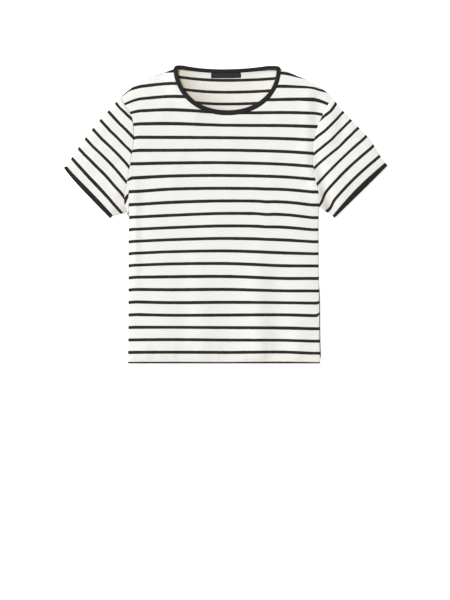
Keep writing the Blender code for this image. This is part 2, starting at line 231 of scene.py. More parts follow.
TOP_STEPS = np.array([2.2, 1.5, 0.9, 0.4, 0.1, 0.0])  # rows close to the rolled shoulder edge
FIRST_ROW = 2.5  # above the fold of the hem
HEIGHTS = np.concatenate([
    np.linspace(FIRST_ROW, UNDERARM["left"], 100),
    np.linspace(UNDERARM["left"], SHOULDER_TIP["left"] - TOP_STEPS[0], 76)[1:-1],
    SHOULDER_TIP["left"] - TOP_STEPS,
])
EDGE_COLUMNS = np.array([0.0004, 0.0012, 0.0026, 0.005])  # columns close to the rolled side edges

armholes = [side_edge(side, np.linspace(1.0, 2.0, 33)) for side in BOTH]
side_seams = [side_edge(side, np.linspace(0.0, 1.0, 25)) for side in BOTH]


def panel_columns(count, more=()):
    """Evenly spaced columns from the left side to the right, with closer ones at both."""
    near = np.concatenate([EDGE_COLUMNS, 1 - EDGE_COLUMNS, more])
    return np.sort(np.concatenate([np.linspace(0.0, 1.0, count + 1), near]))


# The cloth's second coordinate counts stripes: their middles lie where it is a whole number. Its
# first one is the distance along a stripe in the same unit. STRIPE_REPEAT is the unit as it lies
# on the front.
STRIPE_REPEAT = 26.46
LOWEST_STRIPE = -288.5  # Y

# The back's stripes lie lower than the front's at the neck, and bow up towards the shoulders.
BACK_STRIPES_LOWER = 8.5
BACK_STRIPES_AT = 233.0  # the Y where they lie that much lower
BACK_STRIPES_CLOSER = 0.062  # and how much more for each millimetre up
BACK_BOW_LEFT = (8.8, 110.0)  # rise, over what distance
BACK_BOW_RIGHT = (3.0, 90.0)
BACK_BOW_ENDS = (-130.0, 110.0)
BACK_DRIFT_OVER = 200.0  # the height above the middle at which it has all of these


def back_courses(x, y):
    """The stripe count on the back: height over the repeat, with a drop and a bow that fade down."""
    away = np.clip(x, *BACK_BOW_ENDS)
    rise, reach = (np.where(away < 0, a, b) for a, b in zip(BACK_BOW_LEFT, BACK_BOW_RIGHT))
    lower = -BACK_STRIPES_LOWER - BACK_STRIPES_CLOSER * (y - BACK_STRIPES_AT)
    drift = (lower + rise * (away / reach) ** 2) * fade(y / BACK_DRIFT_OVER)
    return (y - drift - LOWEST_STRIPE) / STRIPE_REPEAT


def with_hem(courses_at, x, y, behind):
    """A panel's stripe count, which runs on round the fold of the hem and up its inside."""
    courses, at_fold = courses_at(x, y), courses_at(x, 0 * y - LENGTH / 2)
    return np.where(behind[:, None] > HEM_PLY, 2 * at_fold - courses, courses)


def cloth_mesh(name, points, uv, closed=False, flipped=False, shade=None):
    """A grid of points in millimetres as a mesh of four-sided faces, with uv at its corners.

    closed joins the last column of points to the first; uv then has one column more than points.
    shade is a number from 0 to 1 for each point.
    """
    rows, columns = points.shape[:2]
    corner = np.arange(rows * uv.shape[1]).reshape(rows, uv.shape[1])
    index = np.arange(rows * columns).reshape(rows, columns)
    if closed:
        index = np.column_stack([index, index[:, 0]])
    quads, corners = (
        np.stack([grid[:-1, :-1], grid[:-1, 1:], grid[1:, 1:], grid[1:, :-1]], axis=-1).reshape(-1, 4)
        for grid in (index, corner)
    )
    if flipped:
        quads, corners = quads[:, ::-1], corners[:, ::-1]
    mesh = bpy.data.meshes.new(name)
    mesh.from_pydata((points.reshape(-1, 3) * MM).tolist(), [], quads.tolist())
    layer = mesh.uv_layers.new(name="cloth")
    layer.data.foreach_set("uv", uv.reshape(-1, 2)[corners.reshape(-1)].astype(np.float32).ravel())
    if shade is not None:
        shades = mesh.attributes.new("shade", "FLOAT", "POINT")
        shades.data.foreach_set("value", shade.astype(np.float32).ravel())
    mesh.shade_smooth()
    return mesh


def placed(name, data):
    """A new object in the scene, for a mesh, a light or a camera."""
    made = bpy.data.objects.new(name, data)
    bpy.context.scene.collection.objects.link(made)
    return made


def cloth_piece(name, mesh, material, wall, node):
    """node is the CAD node that it stands for, or None where it has none.
    """
    piece = placed(name, mesh)
    mesh.materials.append(material)
    if wall:
        solidify = piece.modifiers.new("wall", "SOLIDIFY")
        solidify.thickness = wall * MM
        solidify.offset = -1.0
    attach(piece, "root")
    if node:
        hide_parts(node)
    return piece


class NodeDesk:
    """Places shader nodes in a tree and links them, so that a formula reads in its own order."""

    def __init__(self, tree):
        """A desk for one node tree."""
        self.tree = tree

    def node(self, kind, inputs=(), **settings):
        """A node with these settings, and its sockets fed by name."""
        node = self.tree.nodes.new(kind)
        for key, value in settings.items():
            setattr(node, key, value)
        for socket, value in dict(inputs).items():
            self.feed(node.inputs[socket], value)
        return node

    def feed(self, socket, value):
        """Links another node's socket to this one, or writes a plain value into it."""
        if isinstance(value, bpy.types.NodeSocket):
            self.tree.links.new(value, socket)
        else:
            socket.default_value = value

    def math(self, operation, *values):
        """One Math node's result."""
        node = self.tree.nodes.new("ShaderNodeMath")
        node.operation = operation
        for socket, value in zip(node.inputs, values):
            self.feed(socket, value)
        return node.outputs[0]

    def times(self, first, second):
        """first x second"""
        return self.math("MULTIPLY", first, second)

    def sine(self, value, factor):
        """sin(value x factor)"""
        return self.math("SINE", self.times(value, factor))

    def noise(self, vector, scale, detail=2.0):
        """Soft noise round 0.5."""
        found = self.node("ShaderNodeTexNoise", {"Vector": vector, "Scale": scale, "Detail": detail})
        return found.outputs["Fac"]

    def mix(self, share, first, second):
        """first where share is 0, second where it is 1."""
        node = self.tree.nodes.new("ShaderNodeMix")
        node.data_type = "RGBA"
        self.feed(node.inputs["Factor"], share)
        self.feed(node.inputs["A"], first)
        self.feed(node.inputs["B"], second)
        return node.outputs["Result"]

    def cloth(self):
        """The cloth's own coordinates, from the mesh."""
        return self.node("ShaderNodeUVMap", uv_map="cloth").outputs["UV"]

    def split(self, vector):
        """The X and Y of a vector."""
        node = self.node("ShaderNodeSeparateXYZ", {"Vector": vector})
        return node.outputs["X"], node.outputs["Y"]

    def relief(self, shader, relief, height, strength):
        """Bumps a shader's normal with a relief from 0 to 1, height metres high."""
        inputs = {"Strength": strength, "Distance": height, "Height": relief}
        self.feed(shader.inputs["Normal"], self.node("ShaderNodeBump", inputs).outputs["Normal"])


def new_group(name, inputs, outputs):
    """An empty shader node group with named sockets, and its desk, input node and output node."""
    group = bpy.data.node_groups.new(name, "ShaderNodeTree")
    for socket, kind, value in inputs:
        made = group.interface.new_socket(socket, in_out="INPUT", socket_type=kind)
        if value is not None:
            made.default_value = value
    for socket, kind in outputs:
        group.interface.new_socket(socket, in_out="OUTPUT", socket_type=kind)
    desk = NodeDesk(group)
    return group, desk, desk.node("NodeGroupInput"), desk.node("NodeGroupOutput")


# Stockinette: each wale is a column of V-shaped loops. Loops is their relief from 0 to 1, Black
# is 1 on the black yarn's courses, and Unevenness varies round 0.5 from yarn to yarn and patch to
# patch.
LOOP_SLANT = 1.1
STRIPE_LOOSE = 1.1  # how many courses a stripe's width varies by
STRIPE_JAG = 0.9  # and how many its edge steps by from loop to loop
STRIPE_SOFT = 0.22  # half the width of that edge
YARN_SHARE = 0.3  # of the unevenness, the rest being patches
LEG_ROUND = 0.6  # the power that rounds a loop's legs
ROW_SHARE = 0.55  # of the relief that goes along each leg
knit, desk, given, result = new_group(
    "stockinette",
    [
        ("Cloth", "NodeSocketVector", None),
        ("Courses a repeat", "NodeSocketFloat", 40.0),
        ("Wales a repeat", "NodeSocketFloat", 34.0),
        ("Black courses", "NodeSocketFloat", 10.0),
    ],
    [("Black", "NodeSocketFloat"), ("Loops", "NodeSocketFloat"), ("Unevenness", "NodeSocketFloat")],
)
across, down = desk.split(given.outputs["Cloth"])
repeat = given.outputs["Courses a repeat"]
wale = desk.times(across, given.outputs["Wales a repeat"])
leg = desk.math("PINGPONG", wale, 0.5)  # 0 at a wale's edge, 0.5 at its middle
slant = desk.times(leg, LOOP_SLANT)
course = desk.times(down, repeat)
slanted = desk.math("ADD", course, slant)
from_middle = desk.math("PINGPONG", course, desk.times(repeat, 0.5))
tension = desk.noise(given.outputs["Cloth"], scale=1.3, detail=3.0)
loose = desk.times(desk.math("SUBTRACT", tension, 0.5), STRIPE_LOOSE)
jag = desk.times(desk.math("SUBTRACT", leg, 0.25), STRIPE_JAG)
half = desk.math("ADD", desk.times(given.outputs["Black courses"], 0.5), loose)
reach = desk.math("ADD", half, jag)
black = desk.node(
    "ShaderNodeMapRange",
    {"Value": desk.math("SUBTRACT", from_middle, reach), "From Min": -STRIPE_SOFT,
     "From Max": STRIPE_SOFT, "To Min": 1.0, "To Max": 0.0},
    interpolation_type="SMOOTHSTEP",
)
desk.feed(result.inputs["Black"], black.outputs["Result"])
legs = desk.math("ABSOLUTE", desk.sine(wale, 2 * np.pi))
rows_of_loops = desk.math("ABSOLUTE", desk.sine(slanted, np.pi))
round_legs = desk.math("POWER", legs, LEG_ROUND)
along_leg = desk.math("ADD", desk.times(rows_of_loops, ROW_SHARE), 1 - ROW_SHARE)
relief = desk.times(round_legs, along_leg)
desk.feed(result.inputs["Loops"], relief)
stretched = desk.node(
    "ShaderNodeCombineXYZ",
    {"X": desk.times(across, 3.0), "Y": desk.times(course, 0.9)},
)
yarns = desk.noise(stretched.outputs["Vector"], scale=1.0, detail=1.0)
patches = desk.noise(given.outputs["Cloth"], scale=0.7)
uneven = desk.math("ADD", desk.times(yarns, YARN_SHARE), desk.times(patches, 1 - YARN_SHARE))
desk.feed(result.inputs["Unevenness"], uneven)

IVORY = (0.845, 0.838, 0.806, 1.0)
IVORY_DEEP = (0.795, 0.783, 0.742, 1.0)
IVORY_INSIDE_SHADED = (0.809, 0.796, 0.748, 1.0)  # the knit's reverse, seen in the neck: a little darker and warmer, painted shade of the hollow
IVORY_INSIDE_SHADED_DEEP = (0.757, 0.741, 0.687, 1.0)
IVORY_NECK_SHADOW = (0.585, 0.527, 0.440, 1.0)  # painted shadow deep inside the neck, darkest beside the binding on the left
IVORY_HEM_AND_UNDERARM_SHADE = (0.832, 0.806, 0.742, 1.0)  # where the hem doubles it, and painted shade over the seam at the left underarm
IVORY_UNDERARM_SHADED = (0.65, 0.60, 0.53, 1.0)  # painted shade at the underarms, over seam allowances that show through
BLACK_YARN = (0.0115, 0.0112, 0.0108, 1.0)
BLACK_YARN_WORN = (0.024, 0.0233, 0.022, 1.0)
LOOP_HEIGHT = 0.00022  # metres


def new_material(name, roughness, sheen=0.0, specular=0.3):
    """A plain non-metal material, its desk and its Principled shader."""
    material = bpy.data.materials.new(name)
    material.use_nodes = True
    shader = material.node_tree.nodes["Principled BSDF"]
    shader.inputs["Roughness"].default_value = roughness
    shader.inputs["Specular IOR Level"].default_value = specular
    shader.inputs["Sheen Weight"].default_value = sheen
    shader.inputs["Sheen Roughness"].default_value = 0.5
    return material, NodeDesk(material.node_tree), shader


def jersey_material(name, ivory, ivory_deep, shaded):
    """The striped knit in one pair of ivories, by the cloth's own coordinates.

    Where the mesh has a shade attribute, the ivory goes over to the shaded one as that goes to 1.
    """
    material, desk, shader = new_material(name, roughness=0.88, sheen=0.03, specular=0.2)
    loops = desk.node("ShaderNodeGroup", node_tree=knit)
    desk.feed(loops.inputs["Cloth"], desk.cloth())
    pale = desk.mix(loops.outputs["Unevenness"], ivory, ivory_deep)
    shade = desk.node("ShaderNodeAttribute", attribute_name="shade").outputs["Fac"]
    pale = desk.mix(shade, pale, shaded)
    worn = desk.mix(loops.outputs["Unevenness"], BLACK_YARN, BLACK_YARN_WORN)
    desk.feed(shader.inputs["Base Color"], desk.mix(loops.outputs["Black"], pale, worn))
    desk.relief(shader, loops.outputs["Loops"], LOOP_HEIGHT, strength=0.5)
    return material


jersey = jersey_material("striped_jersey", IVORY, IVORY_DEEP, IVORY_HEM_AND_UNDERARM_SHADE)
# The back's jersey has painted shade in its ivories and a painted shadow deep in the neck.
jersey_inside_shaded = jersey_material("striped_jersey_inside_shaded", IVORY_INSIDE_SHADED, IVORY_INSIDE_SHADED_DEEP, IVORY_NECK_SHADOW)

# The back's own ripples, pressed up from the table: start, end, half width, height.
BACK_RIPPLES = (
    (-120, -300, -112, -120, 16, 0.5),
    (-34, -310, -40, -60, 19, 0.7),
    (52, -312, 44, -10, 17, 0.6),
    (133, -300, 126, -90, 14, 0.5),
    (-62, 40, -70, 180, 15, 0.5),
    (74, 60, 84, 190, 13, 0.4),
    (-10, 120, -4, 220, 18, 0.5),
    (-70, 236, -42, 276, 11, 0.5),
    (40, 232, 26, 280, 12, 0.4),
    (-180, 120, -140, 60, 9, 0.4),
    (176, 130, 138, 70, 9, 0.4),
)


CREASE_FADES = (0.25, 0.4)  # the shares of a crease's length that it fades over, start and end
CREASE_AT_ENDS = (0.5, 0.2)  # and how far through those fades it is at its very ends


def crease_height(x, y, creases):
    """The sum of long soft creases: each e^-(d / half width)^2 across, faded at its two ends."""
    height = np.zeros(np.shape(x))
    for x0, y0, x1, y1, half_width, rise in creases:
        length = np.hypot(x1 - x0, y1 - y0)
        along = ((x - x0) * (x1 - x0) + (y - y0) * (y1 - y0)) / length
        across = ((x - x0) * (y1 - y0) - (y - y0) * (x1 - x0)) / length
        start, end = along / (CREASE_FADES[0] * length), (length - along) / (CREASE_FADES[1] * length)
        ends = fade(start + CREASE_AT_ENDS[0]) * fade(end + CREASE_AT_ENDS[1])
        height = height + rise * np.exp(-((across / half_width) ** 2)) * ends
    return height


FRONT_NECK_ENDS = ((-110.2, 306.0), (115.8, 306.0))  # where the shoulders start, outside the binding

# The front stands a little off the back at the left of the neck, and the back's inside banks up
# towards it all round.
NECK_LIFT = 2.6
NECK_LIFT_OVER = 30.0  # how far from the binding it has died away
NECK_LEFT = (-14.0, -84.0)  # it grows from the first X to the second
BANK_HEIGHT = 2.0  # on the right and at the bottom
BANK_HEIGHT_LEFT = 4.4
BANK_MIDDLE = (3.0, 306.0)
BANK_REACH = (107.0, 92.0)  # where it is highest, across and down
BANK_FROM = 0.46  # the share of that where it starts
BANK_TO = (1.08, 1.5)  # the shares between which it dies away again, outside the binding
BANK_POWER = 2.0
BANK_RISE = (20.0, 24.0)  # how far from the binding and from the shirt's edges it is whole
NECK_SHADOW_POWER = 1.2  # how the painted shadow in the neck deepens towards the binding
NECK_SHADOW_FROM = 60.0  # the X at which it starts
NECK_SHADOW_OVER = 140.0  # and over what distance leftwards it grows
NECK_SHADOW_EDGE = (2.0, 10.0)  # how far in from the shoulders it starts, and over what distance
TUCK_OVER = 2.2  # over what distance a panel sinks into a binding

back_line = moved_out(back_neck(np.linspace(*BACK_NECK_ENDS, 41)), BACK_BAND / 2 - BACK_TUCK)
back_neck_line = np.vstack([FRONT_NECK_ENDS[0], back_line, FRONT_NECK_ENDS[1]])
shoulder_lines = [
    shoulder_edge(side, np.array(end), np.linspace(0.0, 1.0, 13))
    for side, end in zip(BOTH, FRONT_NECK_ENDS)
]


def leftwards(x):
    """0 on the neck's right and 1 on its left."""
    return fade((x - NECK_LEFT[0]) / (NECK_LEFT[1] - NECK_LEFT[0]))


def back_ripples(x, y):
    """The height of the back's ripples, which only go up."""
    return np.maximum(crease_height(x, y, BACK_RIPPLES), 0.0)


heights, behind = hem_turn(HEIGHTS)
columns = panel_columns(BACK_COLUMNS)
plan = body_plan(body_rows(heights), columns, back_neck_line, BACK_NECK_FROM)
x, y = plan[..., 0], plan[..., 1]
to_edge = gap_to(x, y, side_seams + shoulder_lines)
to_armhole = gap_to(x, y, armholes)
to_hem = y + LENGTH / 2
lift = back_ripples(x, y) * fade(to_edge / RIPPLES_RISE[0]) * fade(to_hem / RIPPLES_RISE[1])
lift += rolled(to_edge, BACK_ROLL, BACK_ROLL)
lift += BACK_SEAM_DIP * np.exp(-((to_armhole / SEAM_DIP_WIDTH) ** 2))
out = np.hypot(
    (x - BANK_MIDDLE[0]) / BANK_REACH[0],
    (y - BANK_MIDDLE[1]) / BANK_REACH[1],
)
below_binding = gap_to(x, y, [back_line])
near = np.clip((out - BANK_FROM) / (1 - BANK_FROM), 0.0, 1.0)
bank = (BANK_HEIGHT + (BANK_HEIGHT_LEFT - BANK_HEIGHT) * leftwards(x)) * near**BANK_POWER
bank *= fade((BANK_TO[1] - out) / (BANK_TO[1] - BANK_TO[0]))
lift += bank * fade(below_binding / BANK_RISE[0]) * fade(to_edge / BANK_RISE[1])
# A shadow painted on the back's inside in the neck, deepest beside the binding and to the left.
neck_shadow = near**NECK_SHADOW_POWER * fade((NECK_SHADOW_FROM - x) / NECK_SHADOW_OVER)
neck_shadow *= fade((to_edge - NECK_SHADOW_EDGE[0]) / NECK_SHADOW_EDGE[1])
tucked = np.exp(-((np.maximum(below_binding - BACK_TUCK, 0.0) / TUCK_OVER) ** 2))
lift = lift + (BACK_TUCK_LIFT - lift) * tucked
mesh = cloth_mesh(
    "back_panel_jersey",
    np.dstack([plan, lift + behind[:, None]]),
    np.dstack([-x / STRIPE_REPEAT, with_hem(back_courses, x, y, behind)]),
    flipped=True,
    shade=neck_shadow,
)
back_jersey = cloth_piece("back_panel_jersey", mesh, jersey_inside_shaded, JERSEY, "back_panel")

# ----------------------------------------------------------------------------------- front panel
# The same jersey, over the back, with its lower and deeper neck. It rises from the shirt's edges
# to a slack top layer, and holds the long soft folds of a shirt that has been smoothed by hand.

LIE = 4.8  # height of the top layer away from the edges
EDGE_HEIGHT = 3.0  # and at them
EDGE_ROUND = 21.0  # how far in it takes to rise
FRONT_COLUMNS = 136
FRONT_EDGE_COLUMNS = np.arange(0.0065, 0.031, 0.0015)  # more of them near the left underarm
FOLDS_RISE = 18.0  # how far in from the edges the folds reach their height
CREASES_RISE = 8.0  # the small creases
SLACK_RISE = 20.0  # the slow unevenness
NECK_RISE = 24.0  # the lift at the neck
DIPS_RISE = 9.0  # and the dips to the underarm seams
SLACK = 0.1  # the slow unevenness all over: its height, and its waves across and down
SLACK_ACROSS = (13.0, 37.0)
SLACK_DOWN = (17.0, 41.0)
SLACK_BENDS = (2.2, 1.9)
FRONT_ROLL = 1.7  # radius of its rolled side and shoulder edges
FRONT_SEAM_DIP = 0.2  # how far it is drawn down at the armhole seams
HALF_SPAN = 340.0  # centre line to either cuff

# The sleeves' upper edge, a fold: share of the way to the cuff, bulge on the left, on the right.
SLEEVE_FOLD = np.array([
    (0, 0, 0),
    (0.12, 1.5, -0.8),
    (0.25, 3.2, 0.3),
    (0.40, 5.2, 2.5),
    (0.55, 5.4, 5),
    (0.68, 4.7, 6),
    (0.80, 3.2, 3.2),
    (0.90, 1.8, 1),
    (1, 0, 0),
])

# The cuffs' open ends in plan, from the fold to the underarm, how far they bow out, and how wide
# the binding shows at its ends and how much wider at its middle.
CUFFS = {
    "left": {
        "ends": np.array([(-HALF_SPAN, 99.5), (-243.0, -7.5)]),
        "bow": 3.0,
        "widths": (7.2, 8.8),
        "swell": 2.4,
    },
    "right": {
        "ends": np.array([(HALF_SPAN, 104.0), (228.0, -7.0)]),
        "bow": 0.7,
        "widths": (8.2, 6.4),
        "swell": 4.8,
    },
}

BOW_POWER = 0.6  # below 1 they bow most near the fold

# The middle line of the neck binding's front half.
NECK_MIDDLE = 3.4
NECK_HALF_WIDTH = 107.0
NECK_TOP = 306.0
NECK_DEPTH = 92.2
NECK_SQUARENESS = 2.1  # 2 is an ellipse
NECK_FLARE = (1.6, 0.4)  # on the left and on the right
FLARE_DROP = 48.0
NECK_ENDS = 0.004  # how far short of the shoulders the front half stops, in radians
FRONT_BAND = 8.9  # its width at the shoulders
BAND_SPREAD = 1.6  # and how much wider it lies at the bottom
NECK_TUCK = 3.2  # how far the cloth goes on inside the binding
TUCK_DIP = 0.35  # and how far it is pressed down there
TUCK_MARGIN = 0.2  # how far outside the binding it still is
SEAM_GAP = 0.5  # how far outside the binding it starts to come up
TUCK_DIP_OVER = 2.0  # and over what distance
FRONT_NECK_FROM = 6 / 38  # the share of the columns that end on either shoulder

# The folds of the top layer, ridges up and troughs down: start, end, half width, height.
FOLDS = (
    (-136, -330, -128, -140, 24, 0.5),
    (-88, -330, -92, -90, 18, -0.35),
    (-48, -330, -56, -60, 20, 0.95),
    (8, -330, 2, -150, 28, -0.7),
    (72, -330, 66, -70, 23, 1.4),
    (80, -330, 78, -240, 20, 0.45),
    (114, -330, 107, -60, 26, -1.3),
    (118, -330, 114, -240, 24, -0.4),
    (150, -330, 147, -200, 15, 0.6),
    (181, -330, 180, -240, 13, -0.4),
    (-190, 66, -189, -168, 8, 0.75),
    (-175, 60, -173, -160, 12, -0.55),
    (176, 262, 166, 116, 13, 0.95),
    (195, 256, 186, 120, 12, -0.95),
    (166, 126, 206, 0, 12, 1.5),
    (186, 126, 226, 6, 12, -1.8),
    (219, 232, 223, 138, 13, 0.8),
    (242, 224, 246, 140, 11, -0.6),
    (-214, 22, -262, 72, 9, -0.9),
    (-222, 42, -268, 104, 11, 0.8),
)

# Where the cloth sinks to the underarm seams: X, Y, half width, half height, and how far.
UNDERARM_DIPS = (
    (-220, 4, 20, 16, -1.3),
    (216, -2, 16, 18, -1.2),
)

# Smaller creases: pulls below the neck, at the armholes and on the sleeves, and puckers at the hem.
CREASES = (
    (-58, 214, -96, 120, 9, 0.35),
    (72, 212, 96, 130, 9, -0.3),
    (14, 206, 8, 118, 12, 0.3),
    (-112, 262, -150, 176, 10, 0.4),
    (122, 258, 152, 184, 9, 0.35),
    (-188, 152, -138, 100, 8, 0.5),
    (-196, 96, -150, 58, 7, -0.4),
    (180, 150, 140, 108, 8, 0.5),
    (186, 84, 150, 50, 7, -0.4),
    (-20, -60, -27, 46, 14, 0.45),
    (36, 36, 42, 146, 12, -0.35),
    (92, 58, 98, 172, 13, 0.4),
    (-112, 20, -104, 152, 14, 0.4),
    (-152, -60, -148, 40, 14, 0.15),
    (150, -40, 154, 60, 9, 0.35),
    (-168, -318, -165, -262, 5.5, 0.4),
    (-149, -318, -150, -276, 5, -0.35),
    (-110, -318, -108, -268, 6, 0.4),
    (-66, -318, -69, -272, 5.5, -0.4),
    (-18, -318, -16, -258, 7, 0.45),
    (38, -318, 36, -270, 6, 0.4),
    (89, -318, 86, -262, 6, -0.4),
    (126, -318, 124, -274, 5, 0.4),
    (162, -318, 164, -266, 5.5, -0.35),
    (-216, 162, -286, 118, 9, 0.5),
    (-222, 112, -290, 70, 8, -0.45),
    (-240, 196, -306, 132, 8, 0.35),
    (214, 96, 262, 52, 8, 0.45),
    (226, 150, 290, 102, 9, -0.4),
    (258, 186, 316, 118, 8, 0.4),
)


def front_neck(turn):
    """The neck binding's middle line on the front: a superellipse that spreads at the shoulders.

    Turn 0 is at the right shoulder and pi at the left; x = cos^(2/n), y = -sin^(2/n).
    """
    power = 2 / NECK_SQUARENESS
    across = np.sign(np.cos(turn)) * np.abs(np.cos(turn)) ** power
    y = NECK_TOP - NECK_DEPTH * np.abs(np.sin(turn)) ** power
    flare = np.where(across < 0, *NECK_FLARE) * fade((y - NECK_TOP + FLARE_DROP) / FLARE_DROP)
    return np.column_stack([NECK_MIDDLE + (NECK_HALF_WIDTH + flare) * across, y])


def band_width(turn):
    """The neck binding's width on the front, which grows as sin^2 of the turn."""
    return FRONT_BAND + BAND_SPREAD * np.sin(turn) ** 2


def sleeve_fold_edge(side, start, end, share):
    """The sleeve's upper edge from the shoulder's tip to the cuff: a straight line with a bulge."""
    bulge = smooth_through(share, SLEEVE_FOLD[:, 0], SLEEVE_FOLD[:, 1 if side == "left" else 2])
    along = (end - start) / np.linalg.norm(end - start)
    outward = np.array([-along[1], along[0]]) * sign_of(side)
    return start + (end - start) * share[:, None] + outward * bulge[:, None]


def cuff_lines(side, share):
    """A cuff's outer line from fold to underarm, and the line where its binding meets the sleeve.

    The outer line bows out as the sine of share^BOW_POWER, so most near the fold.
    """
    cuff = CUFFS[side]
    fold, under = cuff["ends"]
    straight = fold + (under - fold) * share[:, None]
    outer = moved_out(straight, -sign_of(side) * cuff["bow"] * np.sin(np.pi * share**BOW_POWER))
    width = np.interp(share, (0.0, 1.0), cuff["widths"]) + cuff["swell"] * np.sin(np.pi * share)
    return outer, moved_out(outer, sign_of(side) * width)


front_turn = np.linspace(np.pi - NECK_ENDS, NECK_ENDS, 361)
front_neck_outside = moved_out(front_neck(front_turn), band_width(front_turn) / 2 + SEAM_GAP)
front_neck_tucked = moved_out(front_neck(front_turn), band_width(front_turn) / 2 - NECK_TUCK)

silhouette = [*side_seams, *shoulder_lines, np.array([side_seams[0][0], side_seams[1][0]])]
for side, armhole in zip(BOTH, armholes):
    fold, under = CUFFS[side]["ends"]
    silhouette.append(np.array([armhole[0], under]))
    silhouette.append(cuff_lines(side, np.linspace(0.0, 1.0, 9))[0])
    silhouette.append(sleeve_fold_edge(side, armhole[-1], fold, np.linspace(0.0, 1.0, 13)))


def pulled(x, y, pulls):
    """The sum of some soft bumps: each falls off as e^-r^2, with r counted in its half sizes."""
    return sum(
        by * np.exp(-(((x - at_x) / half_width) ** 2) - ((y - at_y) / half_height) ** 2)
        for at_x, at_y, half_width, half_height, by in pulls
    )


def top_height(x, y):
    """The top layer's outer face: it rises from the edges as 1 - e^-(d / EDGE_ROUND).

    The folds, the creases, a slow unevenness and the lift at the neck are added, and fade out
    towards the edges.
    """
    inward = gap_to(x, y, silhouette)
    height = EDGE_HEIGHT + (LIE - EDGE_HEIGHT) * (1 - np.exp(-inward / EDGE_ROUND))
    height = height + crease_height(x, y, FOLDS) * fade(inward / FOLDS_RISE)
    height = height + crease_height(x, y, CREASES) * fade(inward / CREASES_RISE)
    across = np.sin(x / SLACK_ACROSS[0] + SLACK_BENDS[0] * np.sin(y / SLACK_DOWN[1]))
    down = np.sin(y / SLACK_DOWN[0] + SLACK_BENDS[1] * np.sin(x / SLACK_ACROSS[1]))
    height = height + SLACK * (across * down) * fade(inward / SLACK_RISE)
    from_neck = gap_to(x, y, [front_neck_outside[::12]])
    neck_lift = NECK_LIFT * leftwards(x) * fade(1 - from_neck / NECK_LIFT_OVER)
    height = np.maximum(height + neck_lift * fade(inward / NECK_RISE), EDGE_HEIGHT)
    return height + pulled(x, y, UNDERARM_DIPS) * fade(inward / DIPS_RISE)


# How far the front's stripes wander from straight, upwards, at five places across (X) for each of
# thirteen heights (Y), as read along the cloth's folds.
DRIFT_X = np.array([-185.0, -117.0, 5.0, 127.0, 182.0])
DRIFT_ENDS = (-192.0, 188.0)
DRIFT = np.array([
    (-289, -0.2, 0, -0.4, 0.2, -2.3),
    (-245, -0.6, -0.3, -1.3, -2.4, -3.8),
    (-210, -0.5, -1.9, -1.5, -1.1, -2.6),
    (-156, -0.7, -1.3, -0.7, -3.8, -3.9),
    (-102, -2.7, -0.2, 0.6, -4, -4.4),
    (-50, -5.7, -2.5, 0.4, -3, -6.7),
    (0, -7.6, -4.2, 0, -3, -9),
    (56, -6.5, -2.1, -0.4, -3.1, -7.8),
    (110, -1.5, -0.2, 0.4, -3.2, -7.2),
    (162, 0.9, 0.6, -0.2, -2.1, -4.6),
    (215, 3.2, 5.3, -0.6, -0.2, -1.1),
    (267, 1, 7.5, 0, 1.7, -0.2),
    (294, 3.2, 7.4, 0, 2.2, -16),
])

# Places where the stripes are pulled off that, by the side seams, the armholes and one fold:
# X, Y, half width, half height, and how far up.
FRONT_PULLS = (
    (85, 5, 14, 45, -1.3),
    (-204, -100, 10, 150, -1.4),
    (-196, 150, 8, 20, -2.2),
    (190, 145, 8, 12, 2),
    (182, 232, 20, 14, -2.2),
    (196, 262, 15, 12, -4),
    (-208, 77, 7, 12, -5),
    (199, -211, 4.5, 12, 7.5),
    (199, -184, 4.5, 10, 4),
    (185, -314, 40, 8, 2.2),
    (-203, 258, 13, 10, 2.4),
)

# Where seams and folded-in cloth show through, with painted shade at the left underarm: X, Y, half
# width, half height, and how much.
FRONT_SHADES = (
    (-209, 10, 6, 12, 1),
    (110, -300, 40, 12, 0.3),
)

# The doubled hem looks a little deeper, least at its left end.
HEM_SHADE_SOFT = 2.0  # over what height it starts
HEM_SHADE_LEFT = 0.1
HEM_SHADE_FROM = -170.0  # X
HEM_SHADE_OVER = 320.0

# Beside the left underarm the cloth stands on edge, and its stripes run steeply down to the seam.
TURNED_FROM = -203.6  # X
TURNED = (13.0, 41.5)  # the stripe's number, and its Y there
TURNED_SLOPE = 1.6
TURNED_REPEAT = 38.3
TURNED_SWELL = 0.4  # how much they thicken towards the seam
TURNED_OVER = 8.0  # over what distance they get there
TURNED_HEIGHTS = (-14.0, 56.0)
STRIPE_DROOP = 20.0  # at the shoulder tips
DROOP_FROM = {"left": -178.0, "right": 184.0}  # X
DROOP_OVER = 41.0
DROOP_POWER = 1.6
DROOP_HEIGHTS = (140.0, 270.0)  # the Y between which it grows
HEM_SHIFT = 3.7  # how far the stripes shift up at the hem, whose fold cuts into one more
HEM_SHIFT_FROM = -296.0  # Y
HEM_SHIFT_OVER = 16.0


